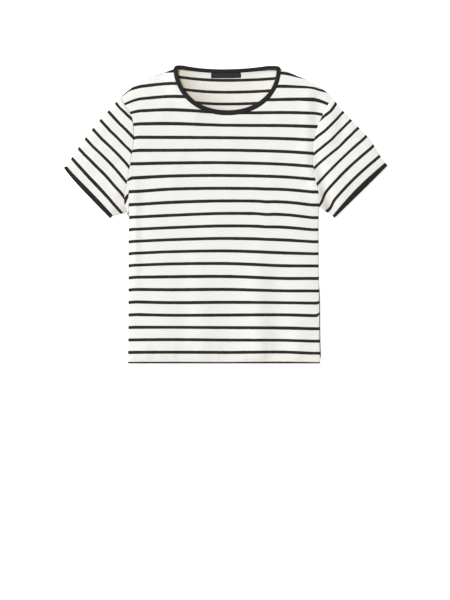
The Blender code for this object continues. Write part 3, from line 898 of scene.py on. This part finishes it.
def front_courses(x, y):
    """The stripe count on the front: height less the drift, over the repeat.

    The drift is cubic between its rows and between its columns. The turned stripes beside the left
    underarm are counted along their own slope.
    """
    down = np.clip(y, DRIFT[0, 0], DRIFT[-1, 0])
    over = np.clip(x, *DRIFT_ENDS)
    spans = np.diff(DRIFT_X)
    at = [smooth_through(down, DRIFT[:, 0], column) for column in DRIFT[:, 1:].T]
    slopes = [(b - a) / span for a, b, span in zip(at, at[1:], spans)]
    slopes = [slopes[0], *[(a + b) / 2 for a, b in zip(slopes, slopes[1:])], slopes[-1]]
    drift = np.zeros(np.shape(x))
    for k, span in enumerate(spans):
        t = np.clip((over - DRIFT_X[k]) / span, 0.0, 1.0)
        piece = cubic(t, span, at[k], at[k + 1], slopes[k], slopes[k + 1])
        drift = np.where((k == 0) | (over >= DRIFT_X[k]), piece, drift)
    high = fade((y - DROOP_HEIGHTS[0]) / (DROOP_HEIGHTS[1] - DROOP_HEIGHTS[0]))
    for side in BOTH:
        beyond = np.maximum(sign_of(side) * (x - DROOP_FROM[side]), 0.0)
        drift = drift - STRIPE_DROOP * high * (beyond / DROOP_OVER) ** DROOP_POWER
    near_hem = fade((HEM_SHIFT_FROM - y) / HEM_SHIFT_OVER)
    drift = drift + HEM_SHIFT * near_hem + pulled(x, y, FRONT_PULLS)
    courses = (y - drift - LOWEST_STRIPE) / STRIPE_REPEAT
    beyond = TURNED_FROM - x
    past = (y + TURNED_SLOPE * beyond - TURNED[1]) / TURNED_REPEAT
    swell = 1 + TURNED_SWELL * fade(beyond / TURNED_OVER)
    turned = TURNED[0] + np.sign(past) * np.abs(past) ** swell
    low, high = TURNED_HEIGHTS
    share = fade((y - low) / TURNED_OVER) * fade((high - y) / TURNED_OVER)
    return courses + (turned - courses) * np.where(beyond > 0, share, 0.0)


def front_face(x, y):
    """The front panel's outer face: the top layer, rolled over its edges and drawn in at its seams."""
    to_edge = gap_to(x, y, side_seams + shoulder_lines)
    dip = FRONT_SEAM_DIP * np.exp(-((gap_to(x, y, armholes) / SEAM_DIP_WIDTH) ** 2))
    return top_height(x, y) - rolled(to_edge, FRONT_ROLL, FRONT_ROLL) - dip


columns = panel_columns(FRONT_COLUMNS, more=FRONT_EDGE_COLUMNS)
plan = body_plan(body_rows(heights), columns, front_neck_tucked, FRONT_NECK_FROM)
x, y = plan[..., 0], plan[..., 1]
height = front_face(x, y)
from_binding = gap_to(x, y, [front_neck_outside[::6]])
inside_binding = gap_to(x, y, [front_neck_tucked[::6]]) < NECK_TUCK + TUCK_MARGIN
height -= TUCK_DIP * np.where(inside_binding, 1.0, np.exp(-((from_binding / TUCK_DIP_OVER) ** 2)))
doubled = fade((HEM_DEPTH - y - LENGTH / 2) / HEM_SHADE_SOFT)
rightwards = fade((x - HEM_SHADE_FROM) / HEM_SHADE_OVER)
hem_shade = doubled * (HEM_SHADE_LEFT + (1 - HEM_SHADE_LEFT) * rightwards)
mesh = cloth_mesh(
    "front_panel_jersey",
    np.dstack([plan, height - behind[:, None]]),
    np.dstack([x / STRIPE_REPEAT, with_hem(front_courses, x, y, behind)]),
    shade=np.clip(hem_shade + pulled(x, y, FRONT_SHADES), 0.0, 1.0),
)
front_jersey = cloth_piece("front_panel_jersey", mesh, jersey, JERSEY, "front_panel")

# --------------------------------------------------------------------------------------- sleeves
# Each sleeve is one cut of the same jersey, set into the armhole and sewn to a tube under the arm.
# It lies flattened, with a fold along its upper edge. Its stripes run round it, along the cuff.

TUBE_EDGE_POINTS = 9
SLEEVE_TUCK = 2.4  # how far it goes on inside the cuff's binding
ARMHOLE_GAP = 0.06  # how far its first ring stands off the panels' seam line
RIB = 0.5  # the bindings' thickness
BINDING_RAISED = 0.48  # how far a cuff's binding stands above the jersey it covers
BINDING_CLEAR = 0.04  # from the binding's inner face to the jersey
TOP_FROM = 0.4  # the height at which a tube starts to count as its top
TOP_OVER = 2.0  # and over what height it comes to count wholly
SLEEVE_STATIONS = 64
SLEEVE_COLUMNS = 72

# The stripes' distances in from the cuff's open edge, and how many stripes in they are.
SLEEVE_STRIPES = {
    "left": (-0.3, 25.5, 50, 74.5, 99, 123.5, 148, 172.5, 197),
    "right": (-0.3, 25.5, 50, 74.8, 99, 121.4, 145.4, 169.8, 194),
}


def lengths_along(line):
    """The length along a line up to each of its points."""
    steps = np.linalg.norm(np.diff(line, axis=0), axis=1)
    return np.concatenate([[0.0], np.cumsum(steps)])


def sleeve_plan(side):
    """The sleeve in plan, rows from the armhole to the cuff, each from the fold to the underarm.

    A patch between its four edges: the two straight blends between opposite edges, less the blend
    of the four corners.
    """
    u, v = np.linspace(0.0, 1.0, SLEEVE_COLUMNS + 1), np.linspace(0.0, 1.0, SLEEVE_STATIONS + 1)
    root = moved_out(side_edge(side, 2 - u), -sign_of(side) * ARMHOLE_GAP)
    seam = moved_out(cuff_lines(side, u)[1], -sign_of(side) * SLEEVE_TUCK)
    along = lengths_along(seam)
    end = along_line(seam, along, u * along[-1])
    fold = sleeve_fold_edge(side, root[0], end[0], v)
    under = root[-1] + (end[-1] - root[-1]) * v[:, None]
    u, v = u[None, :, None], v[:, None, None]
    corners = (1 - v) * ((1 - u) * root[0] + u * root[-1]) + v * ((1 - u) * end[0] + u * end[-1])
    return (1 - u) * fold[:, None] + u * under[:, None] + (1 - v) * root + v * end - corners


def tube_rings(plan, inset=0.0, raised=0.0):
    """Rings of a flattened tube, from the underarm along the table, round the fold and back on top.

    The two edges are half circles; the top lies raised above the shirt's top layer. inset moves
    the whole ring inwards, for an inner ply. Gives the points and the length round to each.
    """
    arc = np.linspace(-0.5, 0.5, TUBE_EDGE_POINTS) * np.pi
    radius = (EDGE_HEIGHT + raised) / 2 - inset
    near = inset + radius * (1 - np.cos(arc))
    rise = inset + radius * (1 + np.sin(arc))
    rings = []
    for row in plan:
        along = lengths_along(row)
        inner = along[-1] * np.linspace(0.0, 1.0, len(row))[1:-1]
        at = np.concatenate([inner[::-1], near, inner, (along[-1] - near)[::-1]])
        rings.append(np.column_stack([along_line(row, along, at), 0 * at]))
    rings = np.array(rings)
    count = len(inner)
    over = rings[:, count + TUBE_EDGE_POINTS : 2 * count + TUBE_EDGE_POINTS]
    over[..., 2] = top_height(over[..., 0], over[..., 1]) + raised - inset
    rings[:, :count, 2] = inset
    rings[:, count : count + TUBE_EDGE_POINTS, 2] = rise
    rings[:, 2 * count + TUBE_EDGE_POINTS :, 2] = rise[::-1]
    steps = np.linalg.norm(np.diff(rings, axis=1, append=rings[:, :1]), axis=2)
    around = np.cumsum(steps, axis=1)
    return rings, np.column_stack([np.zeros(len(rings)), around])


# Places where a sleeve's stripes are pulled off their line: X, Y, half width, half height, and how
# far in from the cuff.
SLEEVE_PULLS = {
    "left": (
        (-218, 230, 12, 12, -2.4),
        (-206, 156, 18, 18, -1.6),
        (-271, 98, 18, 18, -0.9),
        (-217, 44, 16, 16, 2.2),
    ),
    "right": (
        (221, 220, 16, 16, -4.6),
        (242, 164, 22, 22, 2.8),
        (210, 6, 10, 10, 5),
    ),
}

# How a sleeve's stripes sag, as arches or slopes along the cuff's line: how far, from where along
# it, over what distance, and the distances in from the cuff that part the two ends.
SLEEVE_SAGS = {
    "left": (
        ("arch", 3.5, 10, 120, "armhole", 0, 60),
        ("arch", -2.5, 0, 110, "cuff", 0, 50),
    ),
    "right": (
        ("arch", 4, 0, 150, "cuff", 60, 110),
        ("slope", 5, 40, 70, "armhole", 80, 100),
        ("arch", -2, 0, 60, "armhole", 80, 100),
        ("slope", -9, 128, 36, "cuff", 50, 80),
    ),
}


def sleeve_courses(side, x, y):
    """The stripe count on a sleeve: cubic in the distance in from the cuff's line, less the sag.

    t is the distance along that line from the fold, h the one in from it, and an arch half a sine.
    """
    fold, under = CUFFS[side]["ends"]
    along = (under - fold) / np.linalg.norm(under - fold)
    inwards = np.array([-along[1], along[0]]) * -sign_of(side)
    t = (x - fold[0]) * along[0] + (y - fold[1]) * along[1]
    h = (x - fold[0]) * inwards[0] + (y - fold[1]) * inwards[1]
    sag = pulled(x, y, SLEEVE_PULLS[side])
    for form, amount, start, span, end, low, high in SLEEVE_SAGS[side]:
        share = np.clip((t - start) / span, 0.0, 1.0)
        near_armhole = fade((h - low) / (high - low))
        reach = near_armhole if end == "armhole" else 1 - near_armhole
        sag = sag + amount * (np.sin(np.pi * share) if form == "arch" else fade(share)) * reach
    stripes = np.array(SLEEVE_STRIPES[side])
    return smooth_through(h - sag, stripes, np.arange(len(stripes)) - 1.0)


# Where the seams under the arm show through, with painted shade over them: X, Y, half width, half
# height, and how much.
SEAM_SHADES = {
    "left": (
        (-213, 9, 10, 10, 1),
        (-226, 0, 12, 8, 0.7),
        (-221, 42, 6, 12, 0.3),
    ),
    "right": (
        (202, 38, 9, 16, 0.8),
        (211, 14, 9, 13, 1),
    ),
}
sleeve_jersey = jersey_material("striped_jersey_sleeves", IVORY, IVORY_DEEP, IVORY_UNDERARM_SHADED)

ply = RIB + BINDING_CLEAR
for side in BOTH:
    plan = sleeve_plan(side)
    points, around = tube_rings(plan)
    x, y, z = points[..., 0], points[..., 1], points[..., 2]
    on_top = fade((z - TOP_FROM) / TOP_OVER)
    at_seam = np.exp(-((gap_to(x, y, armholes) / SEAM_DIP_WIDTH) ** 2))
    points[..., 2] = z + at_seam * (BACK_SEAM_DIP * (1 - on_top) - FRONT_SEAM_DIP * on_top)
    short_of_binding = np.maximum(gap_to(x, y, [plan[-1]]) - SLEEVE_TUCK, 0.0)
    tucked = np.exp(-((short_of_binding / TUCK_OVER) ** 2))
    points[..., 2] += tucked * (ply * (1 - on_top) - (ply - BINDING_RAISED) * on_top)
    around_x, around_y = (np.column_stack([at, at[:, :1]]) for at in (x, y))
    courses = sleeve_courses(side, around_x, around_y)
    name = f"sleeve_{side}_jersey"
    mesh = cloth_mesh(
        name,
        points,
        np.dstack([around / STRIPE_REPEAT, courses]),
        closed=True,
        flipped=side == "left",
        shade=np.clip(pulled(x, y, SEAM_SHADES[side]), 0.0, 1.0),
    )
    cloth_piece(name, mesh, sleeve_jersey, JERSEY, f"sleeve_{side}")

# ---------------------------------------------------------------------------------- cuff bindings
# A strip of black rib for each cuff, joined to a ring, folded over the sleeve's raw end and sewn
# through with one row of stitches.

BINDING_PLY = 1.2  # from the outer ply's face to the inner ply's, near the open edge
CUFF_SHARES = np.linspace(0.0, 1.0, 65)  # from the fold to the underarm

# The folded strip in section: share of the way to the open edge, how far inside the outer face,
# and distance along the strip.
CUFF_SECTION = np.array([
    (0, 1.36, -9),
    (0.35, 1.36, -6.2),
    (0.55, 1, -4.6),
    (0.86, 1, -1.6),
    (0.96, 0.76, -0.7),
    (1, 0.45, 0),
    (0.97, 0.12, 0.5),
    (0.88, 0, 1.2),
    (0.6, 0, 3.4),
    (0.3, 0, 5.8),
    (0.06, 0.04, 7.7),
    (0, 0.2, 8.3),
])

BLACK_RIB = (0.008, 0.0068, 0.0078, 1.0)
BLACK_RIB_LIT_CRESTS = (0.020, 0.0172, 0.0195, 1.0)
RIB_LOOP = 1.1  # a row of its loops
RIB_LOOP_SHARE = 0.12  # of the relief
RIB_HEIGHT = 0.0003  # metres

# Rib knit: Ribs is their relief, with the rows of loops across them.
ribs, desk, given, result = new_group(
    "rib",
    [("Cloth", "NodeSocketVector", None), ("Ribs a millimetre", "NodeSocketFloat", 0.62)],
    [("Ribs", "NodeSocketFloat"), ("Unevenness", "NodeSocketFloat")],
)
across, down = desk.split(given.outputs["Cloth"])
rib = desk.times(across, given.outputs["Ribs a millimetre"])
wave = desk.math("ABSOLUTE", desk.sine(rib, np.pi))
loop_rows = desk.sine(down, 2 * np.pi / RIB_LOOP)
desk.feed(result.inputs["Ribs"], desk.math("ADD", wave, desk.times(loop_rows, RIB_LOOP_SHARE)))
unevenness = desk.noise(given.outputs["Cloth"], scale=0.35, detail=3.0)
desk.feed(result.inputs["Unevenness"], unevenness)

rib_knit, desk, shader = new_material("black_rib", roughness=0.8, sheen=0.04, specular=0.25)
ribbing = desk.node("ShaderNodeGroup", {"Cloth": desk.cloth()}, node_tree=ribs)
# The ribs' crests are painted lighter, a painted highlight on the raised ribs, uneven from patch to
# patch.
shade = desk.times(ribbing.outputs["Ribs"], ribbing.outputs["Unevenness"])
desk.feed(shader.inputs["Base Color"], desk.mix(shade, BLACK_RIB, BLACK_RIB_LIT_CRESTS))
desk.relief(shader, ribbing.outputs["Ribs"], RIB_HEIGHT, strength=0.6)


def cuff_ring(side, share, inset):
    """One ring round a cuff's binding, at a share of the way to its open edge, and its lengths."""
    outer, inner = cuff_lines(side, CUFF_SHARES)
    points, around = tube_rings((inner + (outer - inner) * share)[None], inset, BINDING_RAISED)
    return points[0], around[0]


for side in BOTH:
    plies = [cuff_ring(side, share, inset * BINDING_PLY) for share, inset, _ in CUFF_SECTION]
    points, around = (np.array(rings) for rings in zip(*plies))
    uv = np.dstack([around, np.repeat(CUFF_SECTION[:, 2:], around.shape[1], axis=1)])
    name, node = f"cuff_{side}_rib", f"cuff_binding_{side}"
    mesh = cloth_mesh(name, points, uv, closed=True, flipped=side == "right")
    cloth_piece(name, mesh, rib_knit, RIB, node)

# ----------------------------------------------------------------------------------- neck binding
# One long strip of the same rib, folded over the neck's raw edge and joined to a ring. Its front
# half lies on the front panel, and its back half on the table.

BACK_NECK_LIFT = 36.0  # over what distance the back half rises at its ends
BACK_NECK_LIFTED = 1.2  # how many times that before its ends it starts to
NECK_RAISED = 0.75  # above the front panel's face
BACK_TOP = 2.15  # the back half's height
BACK_PLIES = 0.92  # how much thinner the back half lies
BACK_BELOW_TOP = 8.0  # the back half lies no further than this below the shoulders' points
CORNER_POINTS = 14

turn = np.linspace(NECK_ENDS, np.pi - NECK_ENDS, 157)
front = front_neck(turn)
back = back_neck(np.linspace(*BACK_NECK_ENDS, 97))


def rounded_corner(start, corner, end):
    """Points between start and end on a parabola whose end tangents meet at the corner."""
    t = np.linspace(0.0, 1.0, CORNER_POINTS + 2)[1:-1, None]
    return (1 - t) ** 2 * start + 2 * t * (1 - t) * corner + t**2 * end


line = np.vstack([
    front,
    rounded_corner(front[-1], np.array([front[-1, 0], back[0, 1]]), back[0]),
    back,
    rounded_corner(back[-1], np.array([front[0, 0], back[-1, 1]]), front[0]),
])
from_middle = np.abs(line[:, 0] - np.mean(BACK_NECK_ENDS))
half_span = np.ptp(BACK_NECK_ENDS) / 2
on_back = (line[:, 1] > NECK_TOP - BACK_BELOW_TOP) & (from_middle < half_span + 1.0)
on_back[: len(front)] = False
lift = fade((from_middle - half_span) / BACK_NECK_LIFT + BACK_NECK_LIFTED)
high = top_height(line[:, 0], line[:, 1]) + NECK_RAISED
top = np.where(on_back, BACK_TOP + (EDGE_HEIGHT + NECK_RAISED - BACK_TOP) * lift, high)
width = np.full(len(line), BACK_BAND)
width[: len(front)] = band_width(turn)
plies = np.where(on_back, BACK_PLIES, 1.0)
around = np.roll(line, -1, axis=0) - np.roll(line, 1, axis=0)
around /= np.linalg.norm(around, axis=1)[:, None]
outward = np.column_stack([-around[:, 1], around[:, 0]])
along = np.concatenate([lengths_along(line), [0.0]])
along[-1] = along[-2] + np.linalg.norm(line[0] - line[-1])

# The folded strip in section: share of the width (0.5 is the outside edge, on the panel), depth
# below the top, and distance along the strip.
NECK_SECTION = np.array([
    (0.44, 2.25, 0),
    (0, 2.27, 4),
    (-0.40, 2.1, 7.6),
    (-0.48, 1.7, 8.4),
    (-0.5, 1.05, 9),
    (-0.48, 0.5, 9.6),
    (-0.42, 0.16, 10.2),
    (-0.25, 0.02, 11.7),
    (0, 0, 13.8),
    (0.25, 0.02, 15.9),
    (0.42, 0.14, 17.4),
    (0.48, 0.36, 18),
    (0.5, 0.62, 18.3),
])
band = np.array([
    np.column_stack([line + outward * (share * width)[:, None], top - depth * plies])
    for share, depth, _ in NECK_SECTION
])
uv = np.dstack([
    np.repeat(along[None], len(NECK_SECTION), axis=0),
    np.repeat(NECK_SECTION[:, 2:], len(along), axis=1),
])
mesh = cloth_mesh("neck_rib", band, uv, closed=True)
neck = cloth_piece("neck_rib", mesh, rib_knit, RIB, "neck_binding")

# ----------------------------------------------------------------------------------- neck label
# A bare strip of black woven satin ribbon, its top edge caught under the neck binding and its two
# short ends turned under.

LABEL_WIDTH = 63.0
LABEL_DEPTH = 10.0
LABEL_UNDER = 1.0  # how far it goes on under the neck binding
LABEL_WALL = 0.55
LABEL_MIDDLE = 0.5  # X
LABEL_TOP = 1.75
LABEL_BOW = 0.28  # how far it bows up along its free edge
LABEL_BOW_TURN = 2.2 * np.pi  # in radians over its length
LABEL_SINK = 0.35  # how far its other edge is pressed down
LABEL_SINK_POWER = 6
LABEL_SWAY = 0.25  # how far both run off a straight line
LABEL_SWAY_TURN = (3.1, 0.6)  # in radians: over its length, and at its middle
LABEL_END = (0.8, 0.6)  # its ends' turn: how long and how high
BLACK_SATIN = (0.008, 0.008, 0.009, 1.0)
BLACK_SATIN_WORN = (0.016, 0.016, 0.0175, 1.0)
SATIN_HEIGHT = 0.0001  # metres
WARP = 0.45
WEFT = 0.35

satin, desk, shader = new_material("black_satin_ribbon", roughness=0.6, specular=0.25)
cloth_uv = desk.cloth()
across, down = desk.split(cloth_uv)
weave = desk.math("ADD", desk.sine(across, 2 * np.pi / WARP), desk.sine(down, 2 * np.pi / WEFT))
worn = desk.noise(cloth_uv, scale=0.4)
desk.feed(shader.inputs["Base Color"], desk.mix(worn, BLACK_SATIN, BLACK_SATIN_WORN))
desk.relief(shader, weave, SATIN_HEIGHT, strength=0.4)

label_top = BACK_NECK_LOW - BACK_BAND / 2 + LABEL_UNDER
u, v = np.meshgrid(np.linspace(-0.5, 0.5, 43), np.linspace(0.0, 1.0, 12))
x = LABEL_MIDDLE + LABEL_WIDTH * u
sway = LABEL_SWAY * np.sin(LABEL_SWAY_TURN[0] * u + LABEL_SWAY_TURN[1])
y = label_top - (LABEL_DEPTH + LABEL_UNDER) * (1 - v) + sway
z = LABEL_TOP + LABEL_BOW * np.cos(LABEL_BOW_TURN * u) * (1 - v) - LABEL_SINK * v**LABEL_SINK_POWER
z = z - rolled(LABEL_WIDTH * (0.5 - np.abs(u)), *LABEL_END)
mesh = cloth_mesh("neck_label_ribbon", np.dstack([x, y, z]), np.dstack([x, y]))
label = cloth_piece("neck_label_ribbon", mesh, satin, LABEL_WALL, "neck_label")

# ---------------------------------------------------------------------------------------- sewing
# Cotton thread. Two rows of ivory stitches hold each hem, and one black row the bindings, close to
# their inner edges. A few black ones hold the label's ends, and black overlock shows at one side.

THREAD = 0.2  # half its thickness
STITCH = 2.2  # length on the face
STITCH_PITCH = 2.9  # from one stitch to the next
HEM_ROWS = (12.4, 18.6)  # above the fold
HEM_SEWN = 3.0  # how far from the side seams the hem's rows end
BLACK_COTTON = (0.012, 0.011, 0.012, 1.0)
BLACK_COTTON_WORN = (0.030, 0.028, 0.029, 1.0)
TWIST_HEIGHT = 0.0001  # metres

twist, desk, given, result = new_group(
    "thread_twist",
    [("At", "NodeSocketVector", None), ("Turns a metre", "NodeSocketFloat", 1500.0)],
    [("Twist", "NodeSocketFloat"), ("Fuzz", "NodeSocketFloat")],
)
strand = desk.times(desk.math("ADD", *desk.split(given.outputs["At"])), given.outputs["Turns a metre"])
desk.feed(result.inputs["Twist"], desk.sine(strand, 2 * np.pi))
desk.feed(result.inputs["Fuzz"], desk.noise(given.outputs["At"], scale=900.0))


def thread_material(name, pale, deep):
    """Twisted cotton thread: its plies as a bump, and its colour uneven with its fuzz."""
    material, desk, shader = new_material(name, roughness=0.75, sheen=0.05, specular=0.25)
    plies = desk.node("ShaderNodeGroup", node_tree=twist)
    desk.feed(plies.inputs["At"], desk.node("ShaderNodeTexCoord").outputs["Object"])
    desk.feed(shader.inputs["Base Color"], desk.mix(plies.outputs["Fuzz"], pale, deep))
    desk.relief(shader, plies.outputs["Twist"], TWIST_HEIGHT, strength=0.5)
    return material


ivory_thread = thread_material("ivory_thread", IVORY, IVORY_DEEP)
black_thread = thread_material("black_thread", BLACK_COTTON, BLACK_COTTON_WORN)

# One stitch in section: distance along as a share of its length, thickness, and how high it arches.
STITCH_SECTION = np.array([
    (-0.5, 0.15, -0.5), (-0.34, 0.85, 0.1), (0.0, 1.0, 0.35), (0.34, 0.85, 0.1), (0.5, 0.15, -0.5),
])
ROUND = 6  # corners of the thread


def stitched(name, rows, material):
    """Rows of stitches as one piece: a bulging thread along each path, one to a pitch.

    A row is its path and the direction across it; along x across points out of the cloth.
    """
    turn = np.arange(ROUND)[:, None] * 2 * np.pi / ROUND
    wide, high = np.cos(turn), np.sin(turn)
    length, thick, arch = (STITCH_SECTION[:, k, None, None] for k in range(3))
    found = []
    for path, across in rows:
        along = lengths_along(path)
        starts = np.arange(STITCH_PITCH / 2, along[-1], STITCH_PITCH)
        middle = along_line(path, along, starts)
        ahead = along_line(path, along, starts + 0.5) - along_line(path, along, starts - 0.5)
        ahead /= np.linalg.norm(ahead, axis=1)[:, None]
        across = along_line(np.broadcast_to(across, path.shape), along, starts)
        across /= np.linalg.norm(across, axis=1)[:, None]
        out = np.cross(ahead, across)
        found.append(
            middle[:, None, None]
            + length * STITCH * ahead[:, None, None]
            + thick * THREAD * wide * across[:, None, None]
            + THREAD * (thick * high + arch) * out[:, None, None]
        )
    points = np.concatenate(found)
    rings = len(STITCH_SECTION)
    first = np.arange(len(points))[:, None, None] * rings * ROUND
    ring, corner = np.arange(rings - 1)[:, None] * ROUND, np.arange(ROUND)
    after = (corner + 1) % ROUND
    sides = np.stack([ring + corner, ring + after, ring + ROUND + after, ring + ROUND + corner], axis=-1)
    caps = np.stack([corner[::-1], corner + (rings - 1) * ROUND])
    faces = (sides.reshape(1, -1, 4) + first).reshape(-1, 4).tolist()
    faces += (caps[None] + first).reshape(-1, ROUND).tolist()
    mesh = bpy.data.meshes.new(name)
    mesh.from_pydata((points.reshape(-1, 3) * MM).tolist(), [], faces)
    mesh.shade_smooth()
    return cloth_piece(name, mesh, material, 0.0, None)


def hem_rows(face, across):
    """A hem's two rows of stitches on a face, which is a height over X and Y."""
    x = np.linspace(side_seams[0][0, 0] + HEM_SEWN, side_seams[1][0, 0] - HEM_SEWN, 201)
    rows = []
    for above in HEM_ROWS:
        y = np.full(len(x), above - LENGTH / 2)
        rows.append((np.column_stack([x, y, face(x, y)]), across))
    return rows


def under_back(x, y):
    """The back's outer face at its hem, above the table by the thread's own thickness."""
    return back_ripples(x, y) + THREAD


def closed_ring(line):
    """A line with its first point once more at its end."""
    return np.vstack([line, line[:1]])


stitched("front_hem_stitches", hem_rows(front_face, (0.0, 1.0, 0.0)), ivory_thread)
stitched("back_hem_stitches", hem_rows(under_back, (0.0, -1.0, 0.0)), ivory_thread)

NECK_ROW = 0.33  # share of the binding's width out from its middle
NECK_ROW_DEPTH = 0.08
neck_row = np.column_stack([line + outward * (NECK_ROW * width)[:, None], top - NECK_ROW_DEPTH])
neck_rows = [(closed_ring(neck_row), closed_ring(np.column_stack([outward, 0 * top])))]
stitched("neck_binding_stitches", neck_rows, black_thread)

CUFF_ROW = 0.26  # share of the way to the open edge
for side in BOTH:
    ring = closed_ring(cuff_ring(side, CUFF_ROW, 0.0)[0])
    ring[:, 2] = np.maximum(ring[:, 2], THREAD)
    outer, inner = cuff_lines(side, CUFF_SHARES)
    across = np.append((outer - inner)[len(outer) // 2] * sign_of(side), 0.0)
    stitched(f"cuff_{side}_stitches", [(ring, across)], black_thread)

LABEL_ROW_IN = 2.0  # from the label's ends
LABEL_ROW_SHORT = 1.6  # from its top edge
row_y = np.linspace(label_top - LABEL_DEPTH, label_top - LABEL_ROW_SHORT, 9)
label_rows = []
for side in BOTH:
    row_x = LABEL_MIDDLE + sign_of(side) * (LABEL_WIDTH / 2 - LABEL_ROW_IN)
    row = np.column_stack(np.broadcast_arrays(row_x, row_y, LABEL_TOP))
    label_rows.append((row, (-1.0, 0.0, 0.0)))
stitched("neck_label_stitches", label_rows, black_thread)

# The overlock that shows at the lower right side seam: a looped tube of thread over the edge.
OVERLOCK_HEIGHTS = (9.0, 170.0)  # above the hem
OVERLOCK_THICK = 0.95
OVERLOCK_LOOP = 2.5  # from one loop to the next
OVERLOCK_SWELL = 0.14  # how much thicker it is at a loop
OVERLOCK_TIP = 0.05  # how thick its closed ends are
OVERLOCK_ROUND = 10  # corners round it
OVERLOCK_TAPERS = (8.0, 26.0)  # how long it thins out at its lower end and at its upper one
OVERLOCK_AT_ENDS = (0.2, 0.1)  # and how far through that it stops
OVERLOCK_AT = (-0.35, 2.25)  # out from the edge, and up
heights = np.arange(*OVERLOCK_HEIGHTS, 0.5)
edge = side_edge("right", heights / UNDERARM["right"])
lower = fade((heights - heights[0]) / OVERLOCK_TAPERS[0] + OVERLOCK_AT_ENDS[0])
ends = lower * fade((heights[-1] - heights) / OVERLOCK_TAPERS[1] + OVERLOCK_AT_ENDS[1])
loops = 1 + OVERLOCK_SWELL * np.sin(2 * np.pi * heights / OVERLOCK_LOOP)
turn = np.arange(OVERLOCK_ROUND) * 2 * np.pi / OVERLOCK_ROUND
radius = (OVERLOCK_THICK * ends * loops)[:, None]
points = np.dstack([
    edge[:, :1] + OVERLOCK_AT[0] + radius * np.cos(turn),
    edge[:, 1:] + 0 * radius * turn,
    OVERLOCK_AT[1] - 0.5 * (1 - ends[:, None]) + radius * np.sin(turn),
])
middles = points[[0, -1]].mean(axis=1, keepdims=True)
points[[0, -1]] = middles + OVERLOCK_TIP * (points[[0, -1]] - middles)
uv = np.dstack(np.broadcast_arrays(np.append(turn, 2 * np.pi)[None], heights[:, None]))
mesh = cloth_mesh("side_seam_overlock", points, uv, closed=True, flipped=True)
cloth_piece("side_seam_overlock", mesh, black_thread, 0.0, None)

# ----------------------------------------------------------------------------------- table, light
# A plain pale table top that the shirt lies on, one large soft light from the upper left, a white
# sky all round, and a camera straight above.

TABLE_HALF = 6.0  # metres
TABLE_Z = -0.0002

pale_table, desk, shader = new_material("pale_table", roughness=0.9, specular=0.1)
shader.inputs["Base Color"].default_value = (0.93, 0.93, 0.93, 1.0)
shader.inputs["Emission Color"].default_value = (1.0, 1.0, 1.0, 1.0)
shader.inputs["Emission Strength"].default_value = 0.6
mesh = bpy.data.meshes.new("table_top")
corners = [(-1, -1), (1, -1), (1, 1), (-1, 1)]
mesh.from_pydata([(TABLE_HALF * a, TABLE_HALF * b, TABLE_Z) for a, b in corners], [], [(0, 1, 2, 3)])
mesh.materials.append(pale_table)
table = placed("table_top", mesh)

KEY_FROM = (-0.74, 0.46, 0.5)  # the direction that the light comes from
KEY_STRENGTH = 4.45
KEY_SPREAD = 26.0  # degrees across: how large the light looks from the table
SKY_STRENGTH = 0.44

lamp = bpy.data.lights.new("key", "SUN")
lamp.energy = KEY_STRENGTH
lamp.angle = np.radians(KEY_SPREAD)
key = placed("key", lamp)
key.rotation_euler = (
    np.arctan2(np.hypot(KEY_FROM[0], KEY_FROM[1]), KEY_FROM[2]),
    0.0,
    np.arctan2(KEY_FROM[1], KEY_FROM[0]) + np.pi / 2,
)

world = bpy.data.worlds.new("studio")
world.use_nodes = True
sky = world.node_tree.nodes["Background"]
sky.inputs["Color"].default_value = (1.0, 1.0, 1.0, 1.0)
sky.inputs["Strength"].default_value = SKY_STRENGTH
bpy.context.scene.world = world
bpy.context.scene.view_settings.view_transform = "Standard"
bpy.context.scene.view_settings.look = "None"

VIEW_CENTRE = (-0.0016, -0.179)  # metres, here and below
VIEW_LENGTH = 1.26  # what the picture's long side covers
CAMERA_HEIGHT = 3.0
SENSOR = 36.0  # millimetres

lens = bpy.data.cameras.new("camera")
lens.type = "PERSP"
lens.sensor_width = SENSOR
lens.lens = SENSOR * CAMERA_HEIGHT / VIEW_LENGTH
lens.clip_start = 0.05
lens.clip_end = 50.0
camera = placed("camera", lens)
camera.location = (*VIEW_CENTRE, CAMERA_HEIGHT)
bpy.context.scene.camera = camera
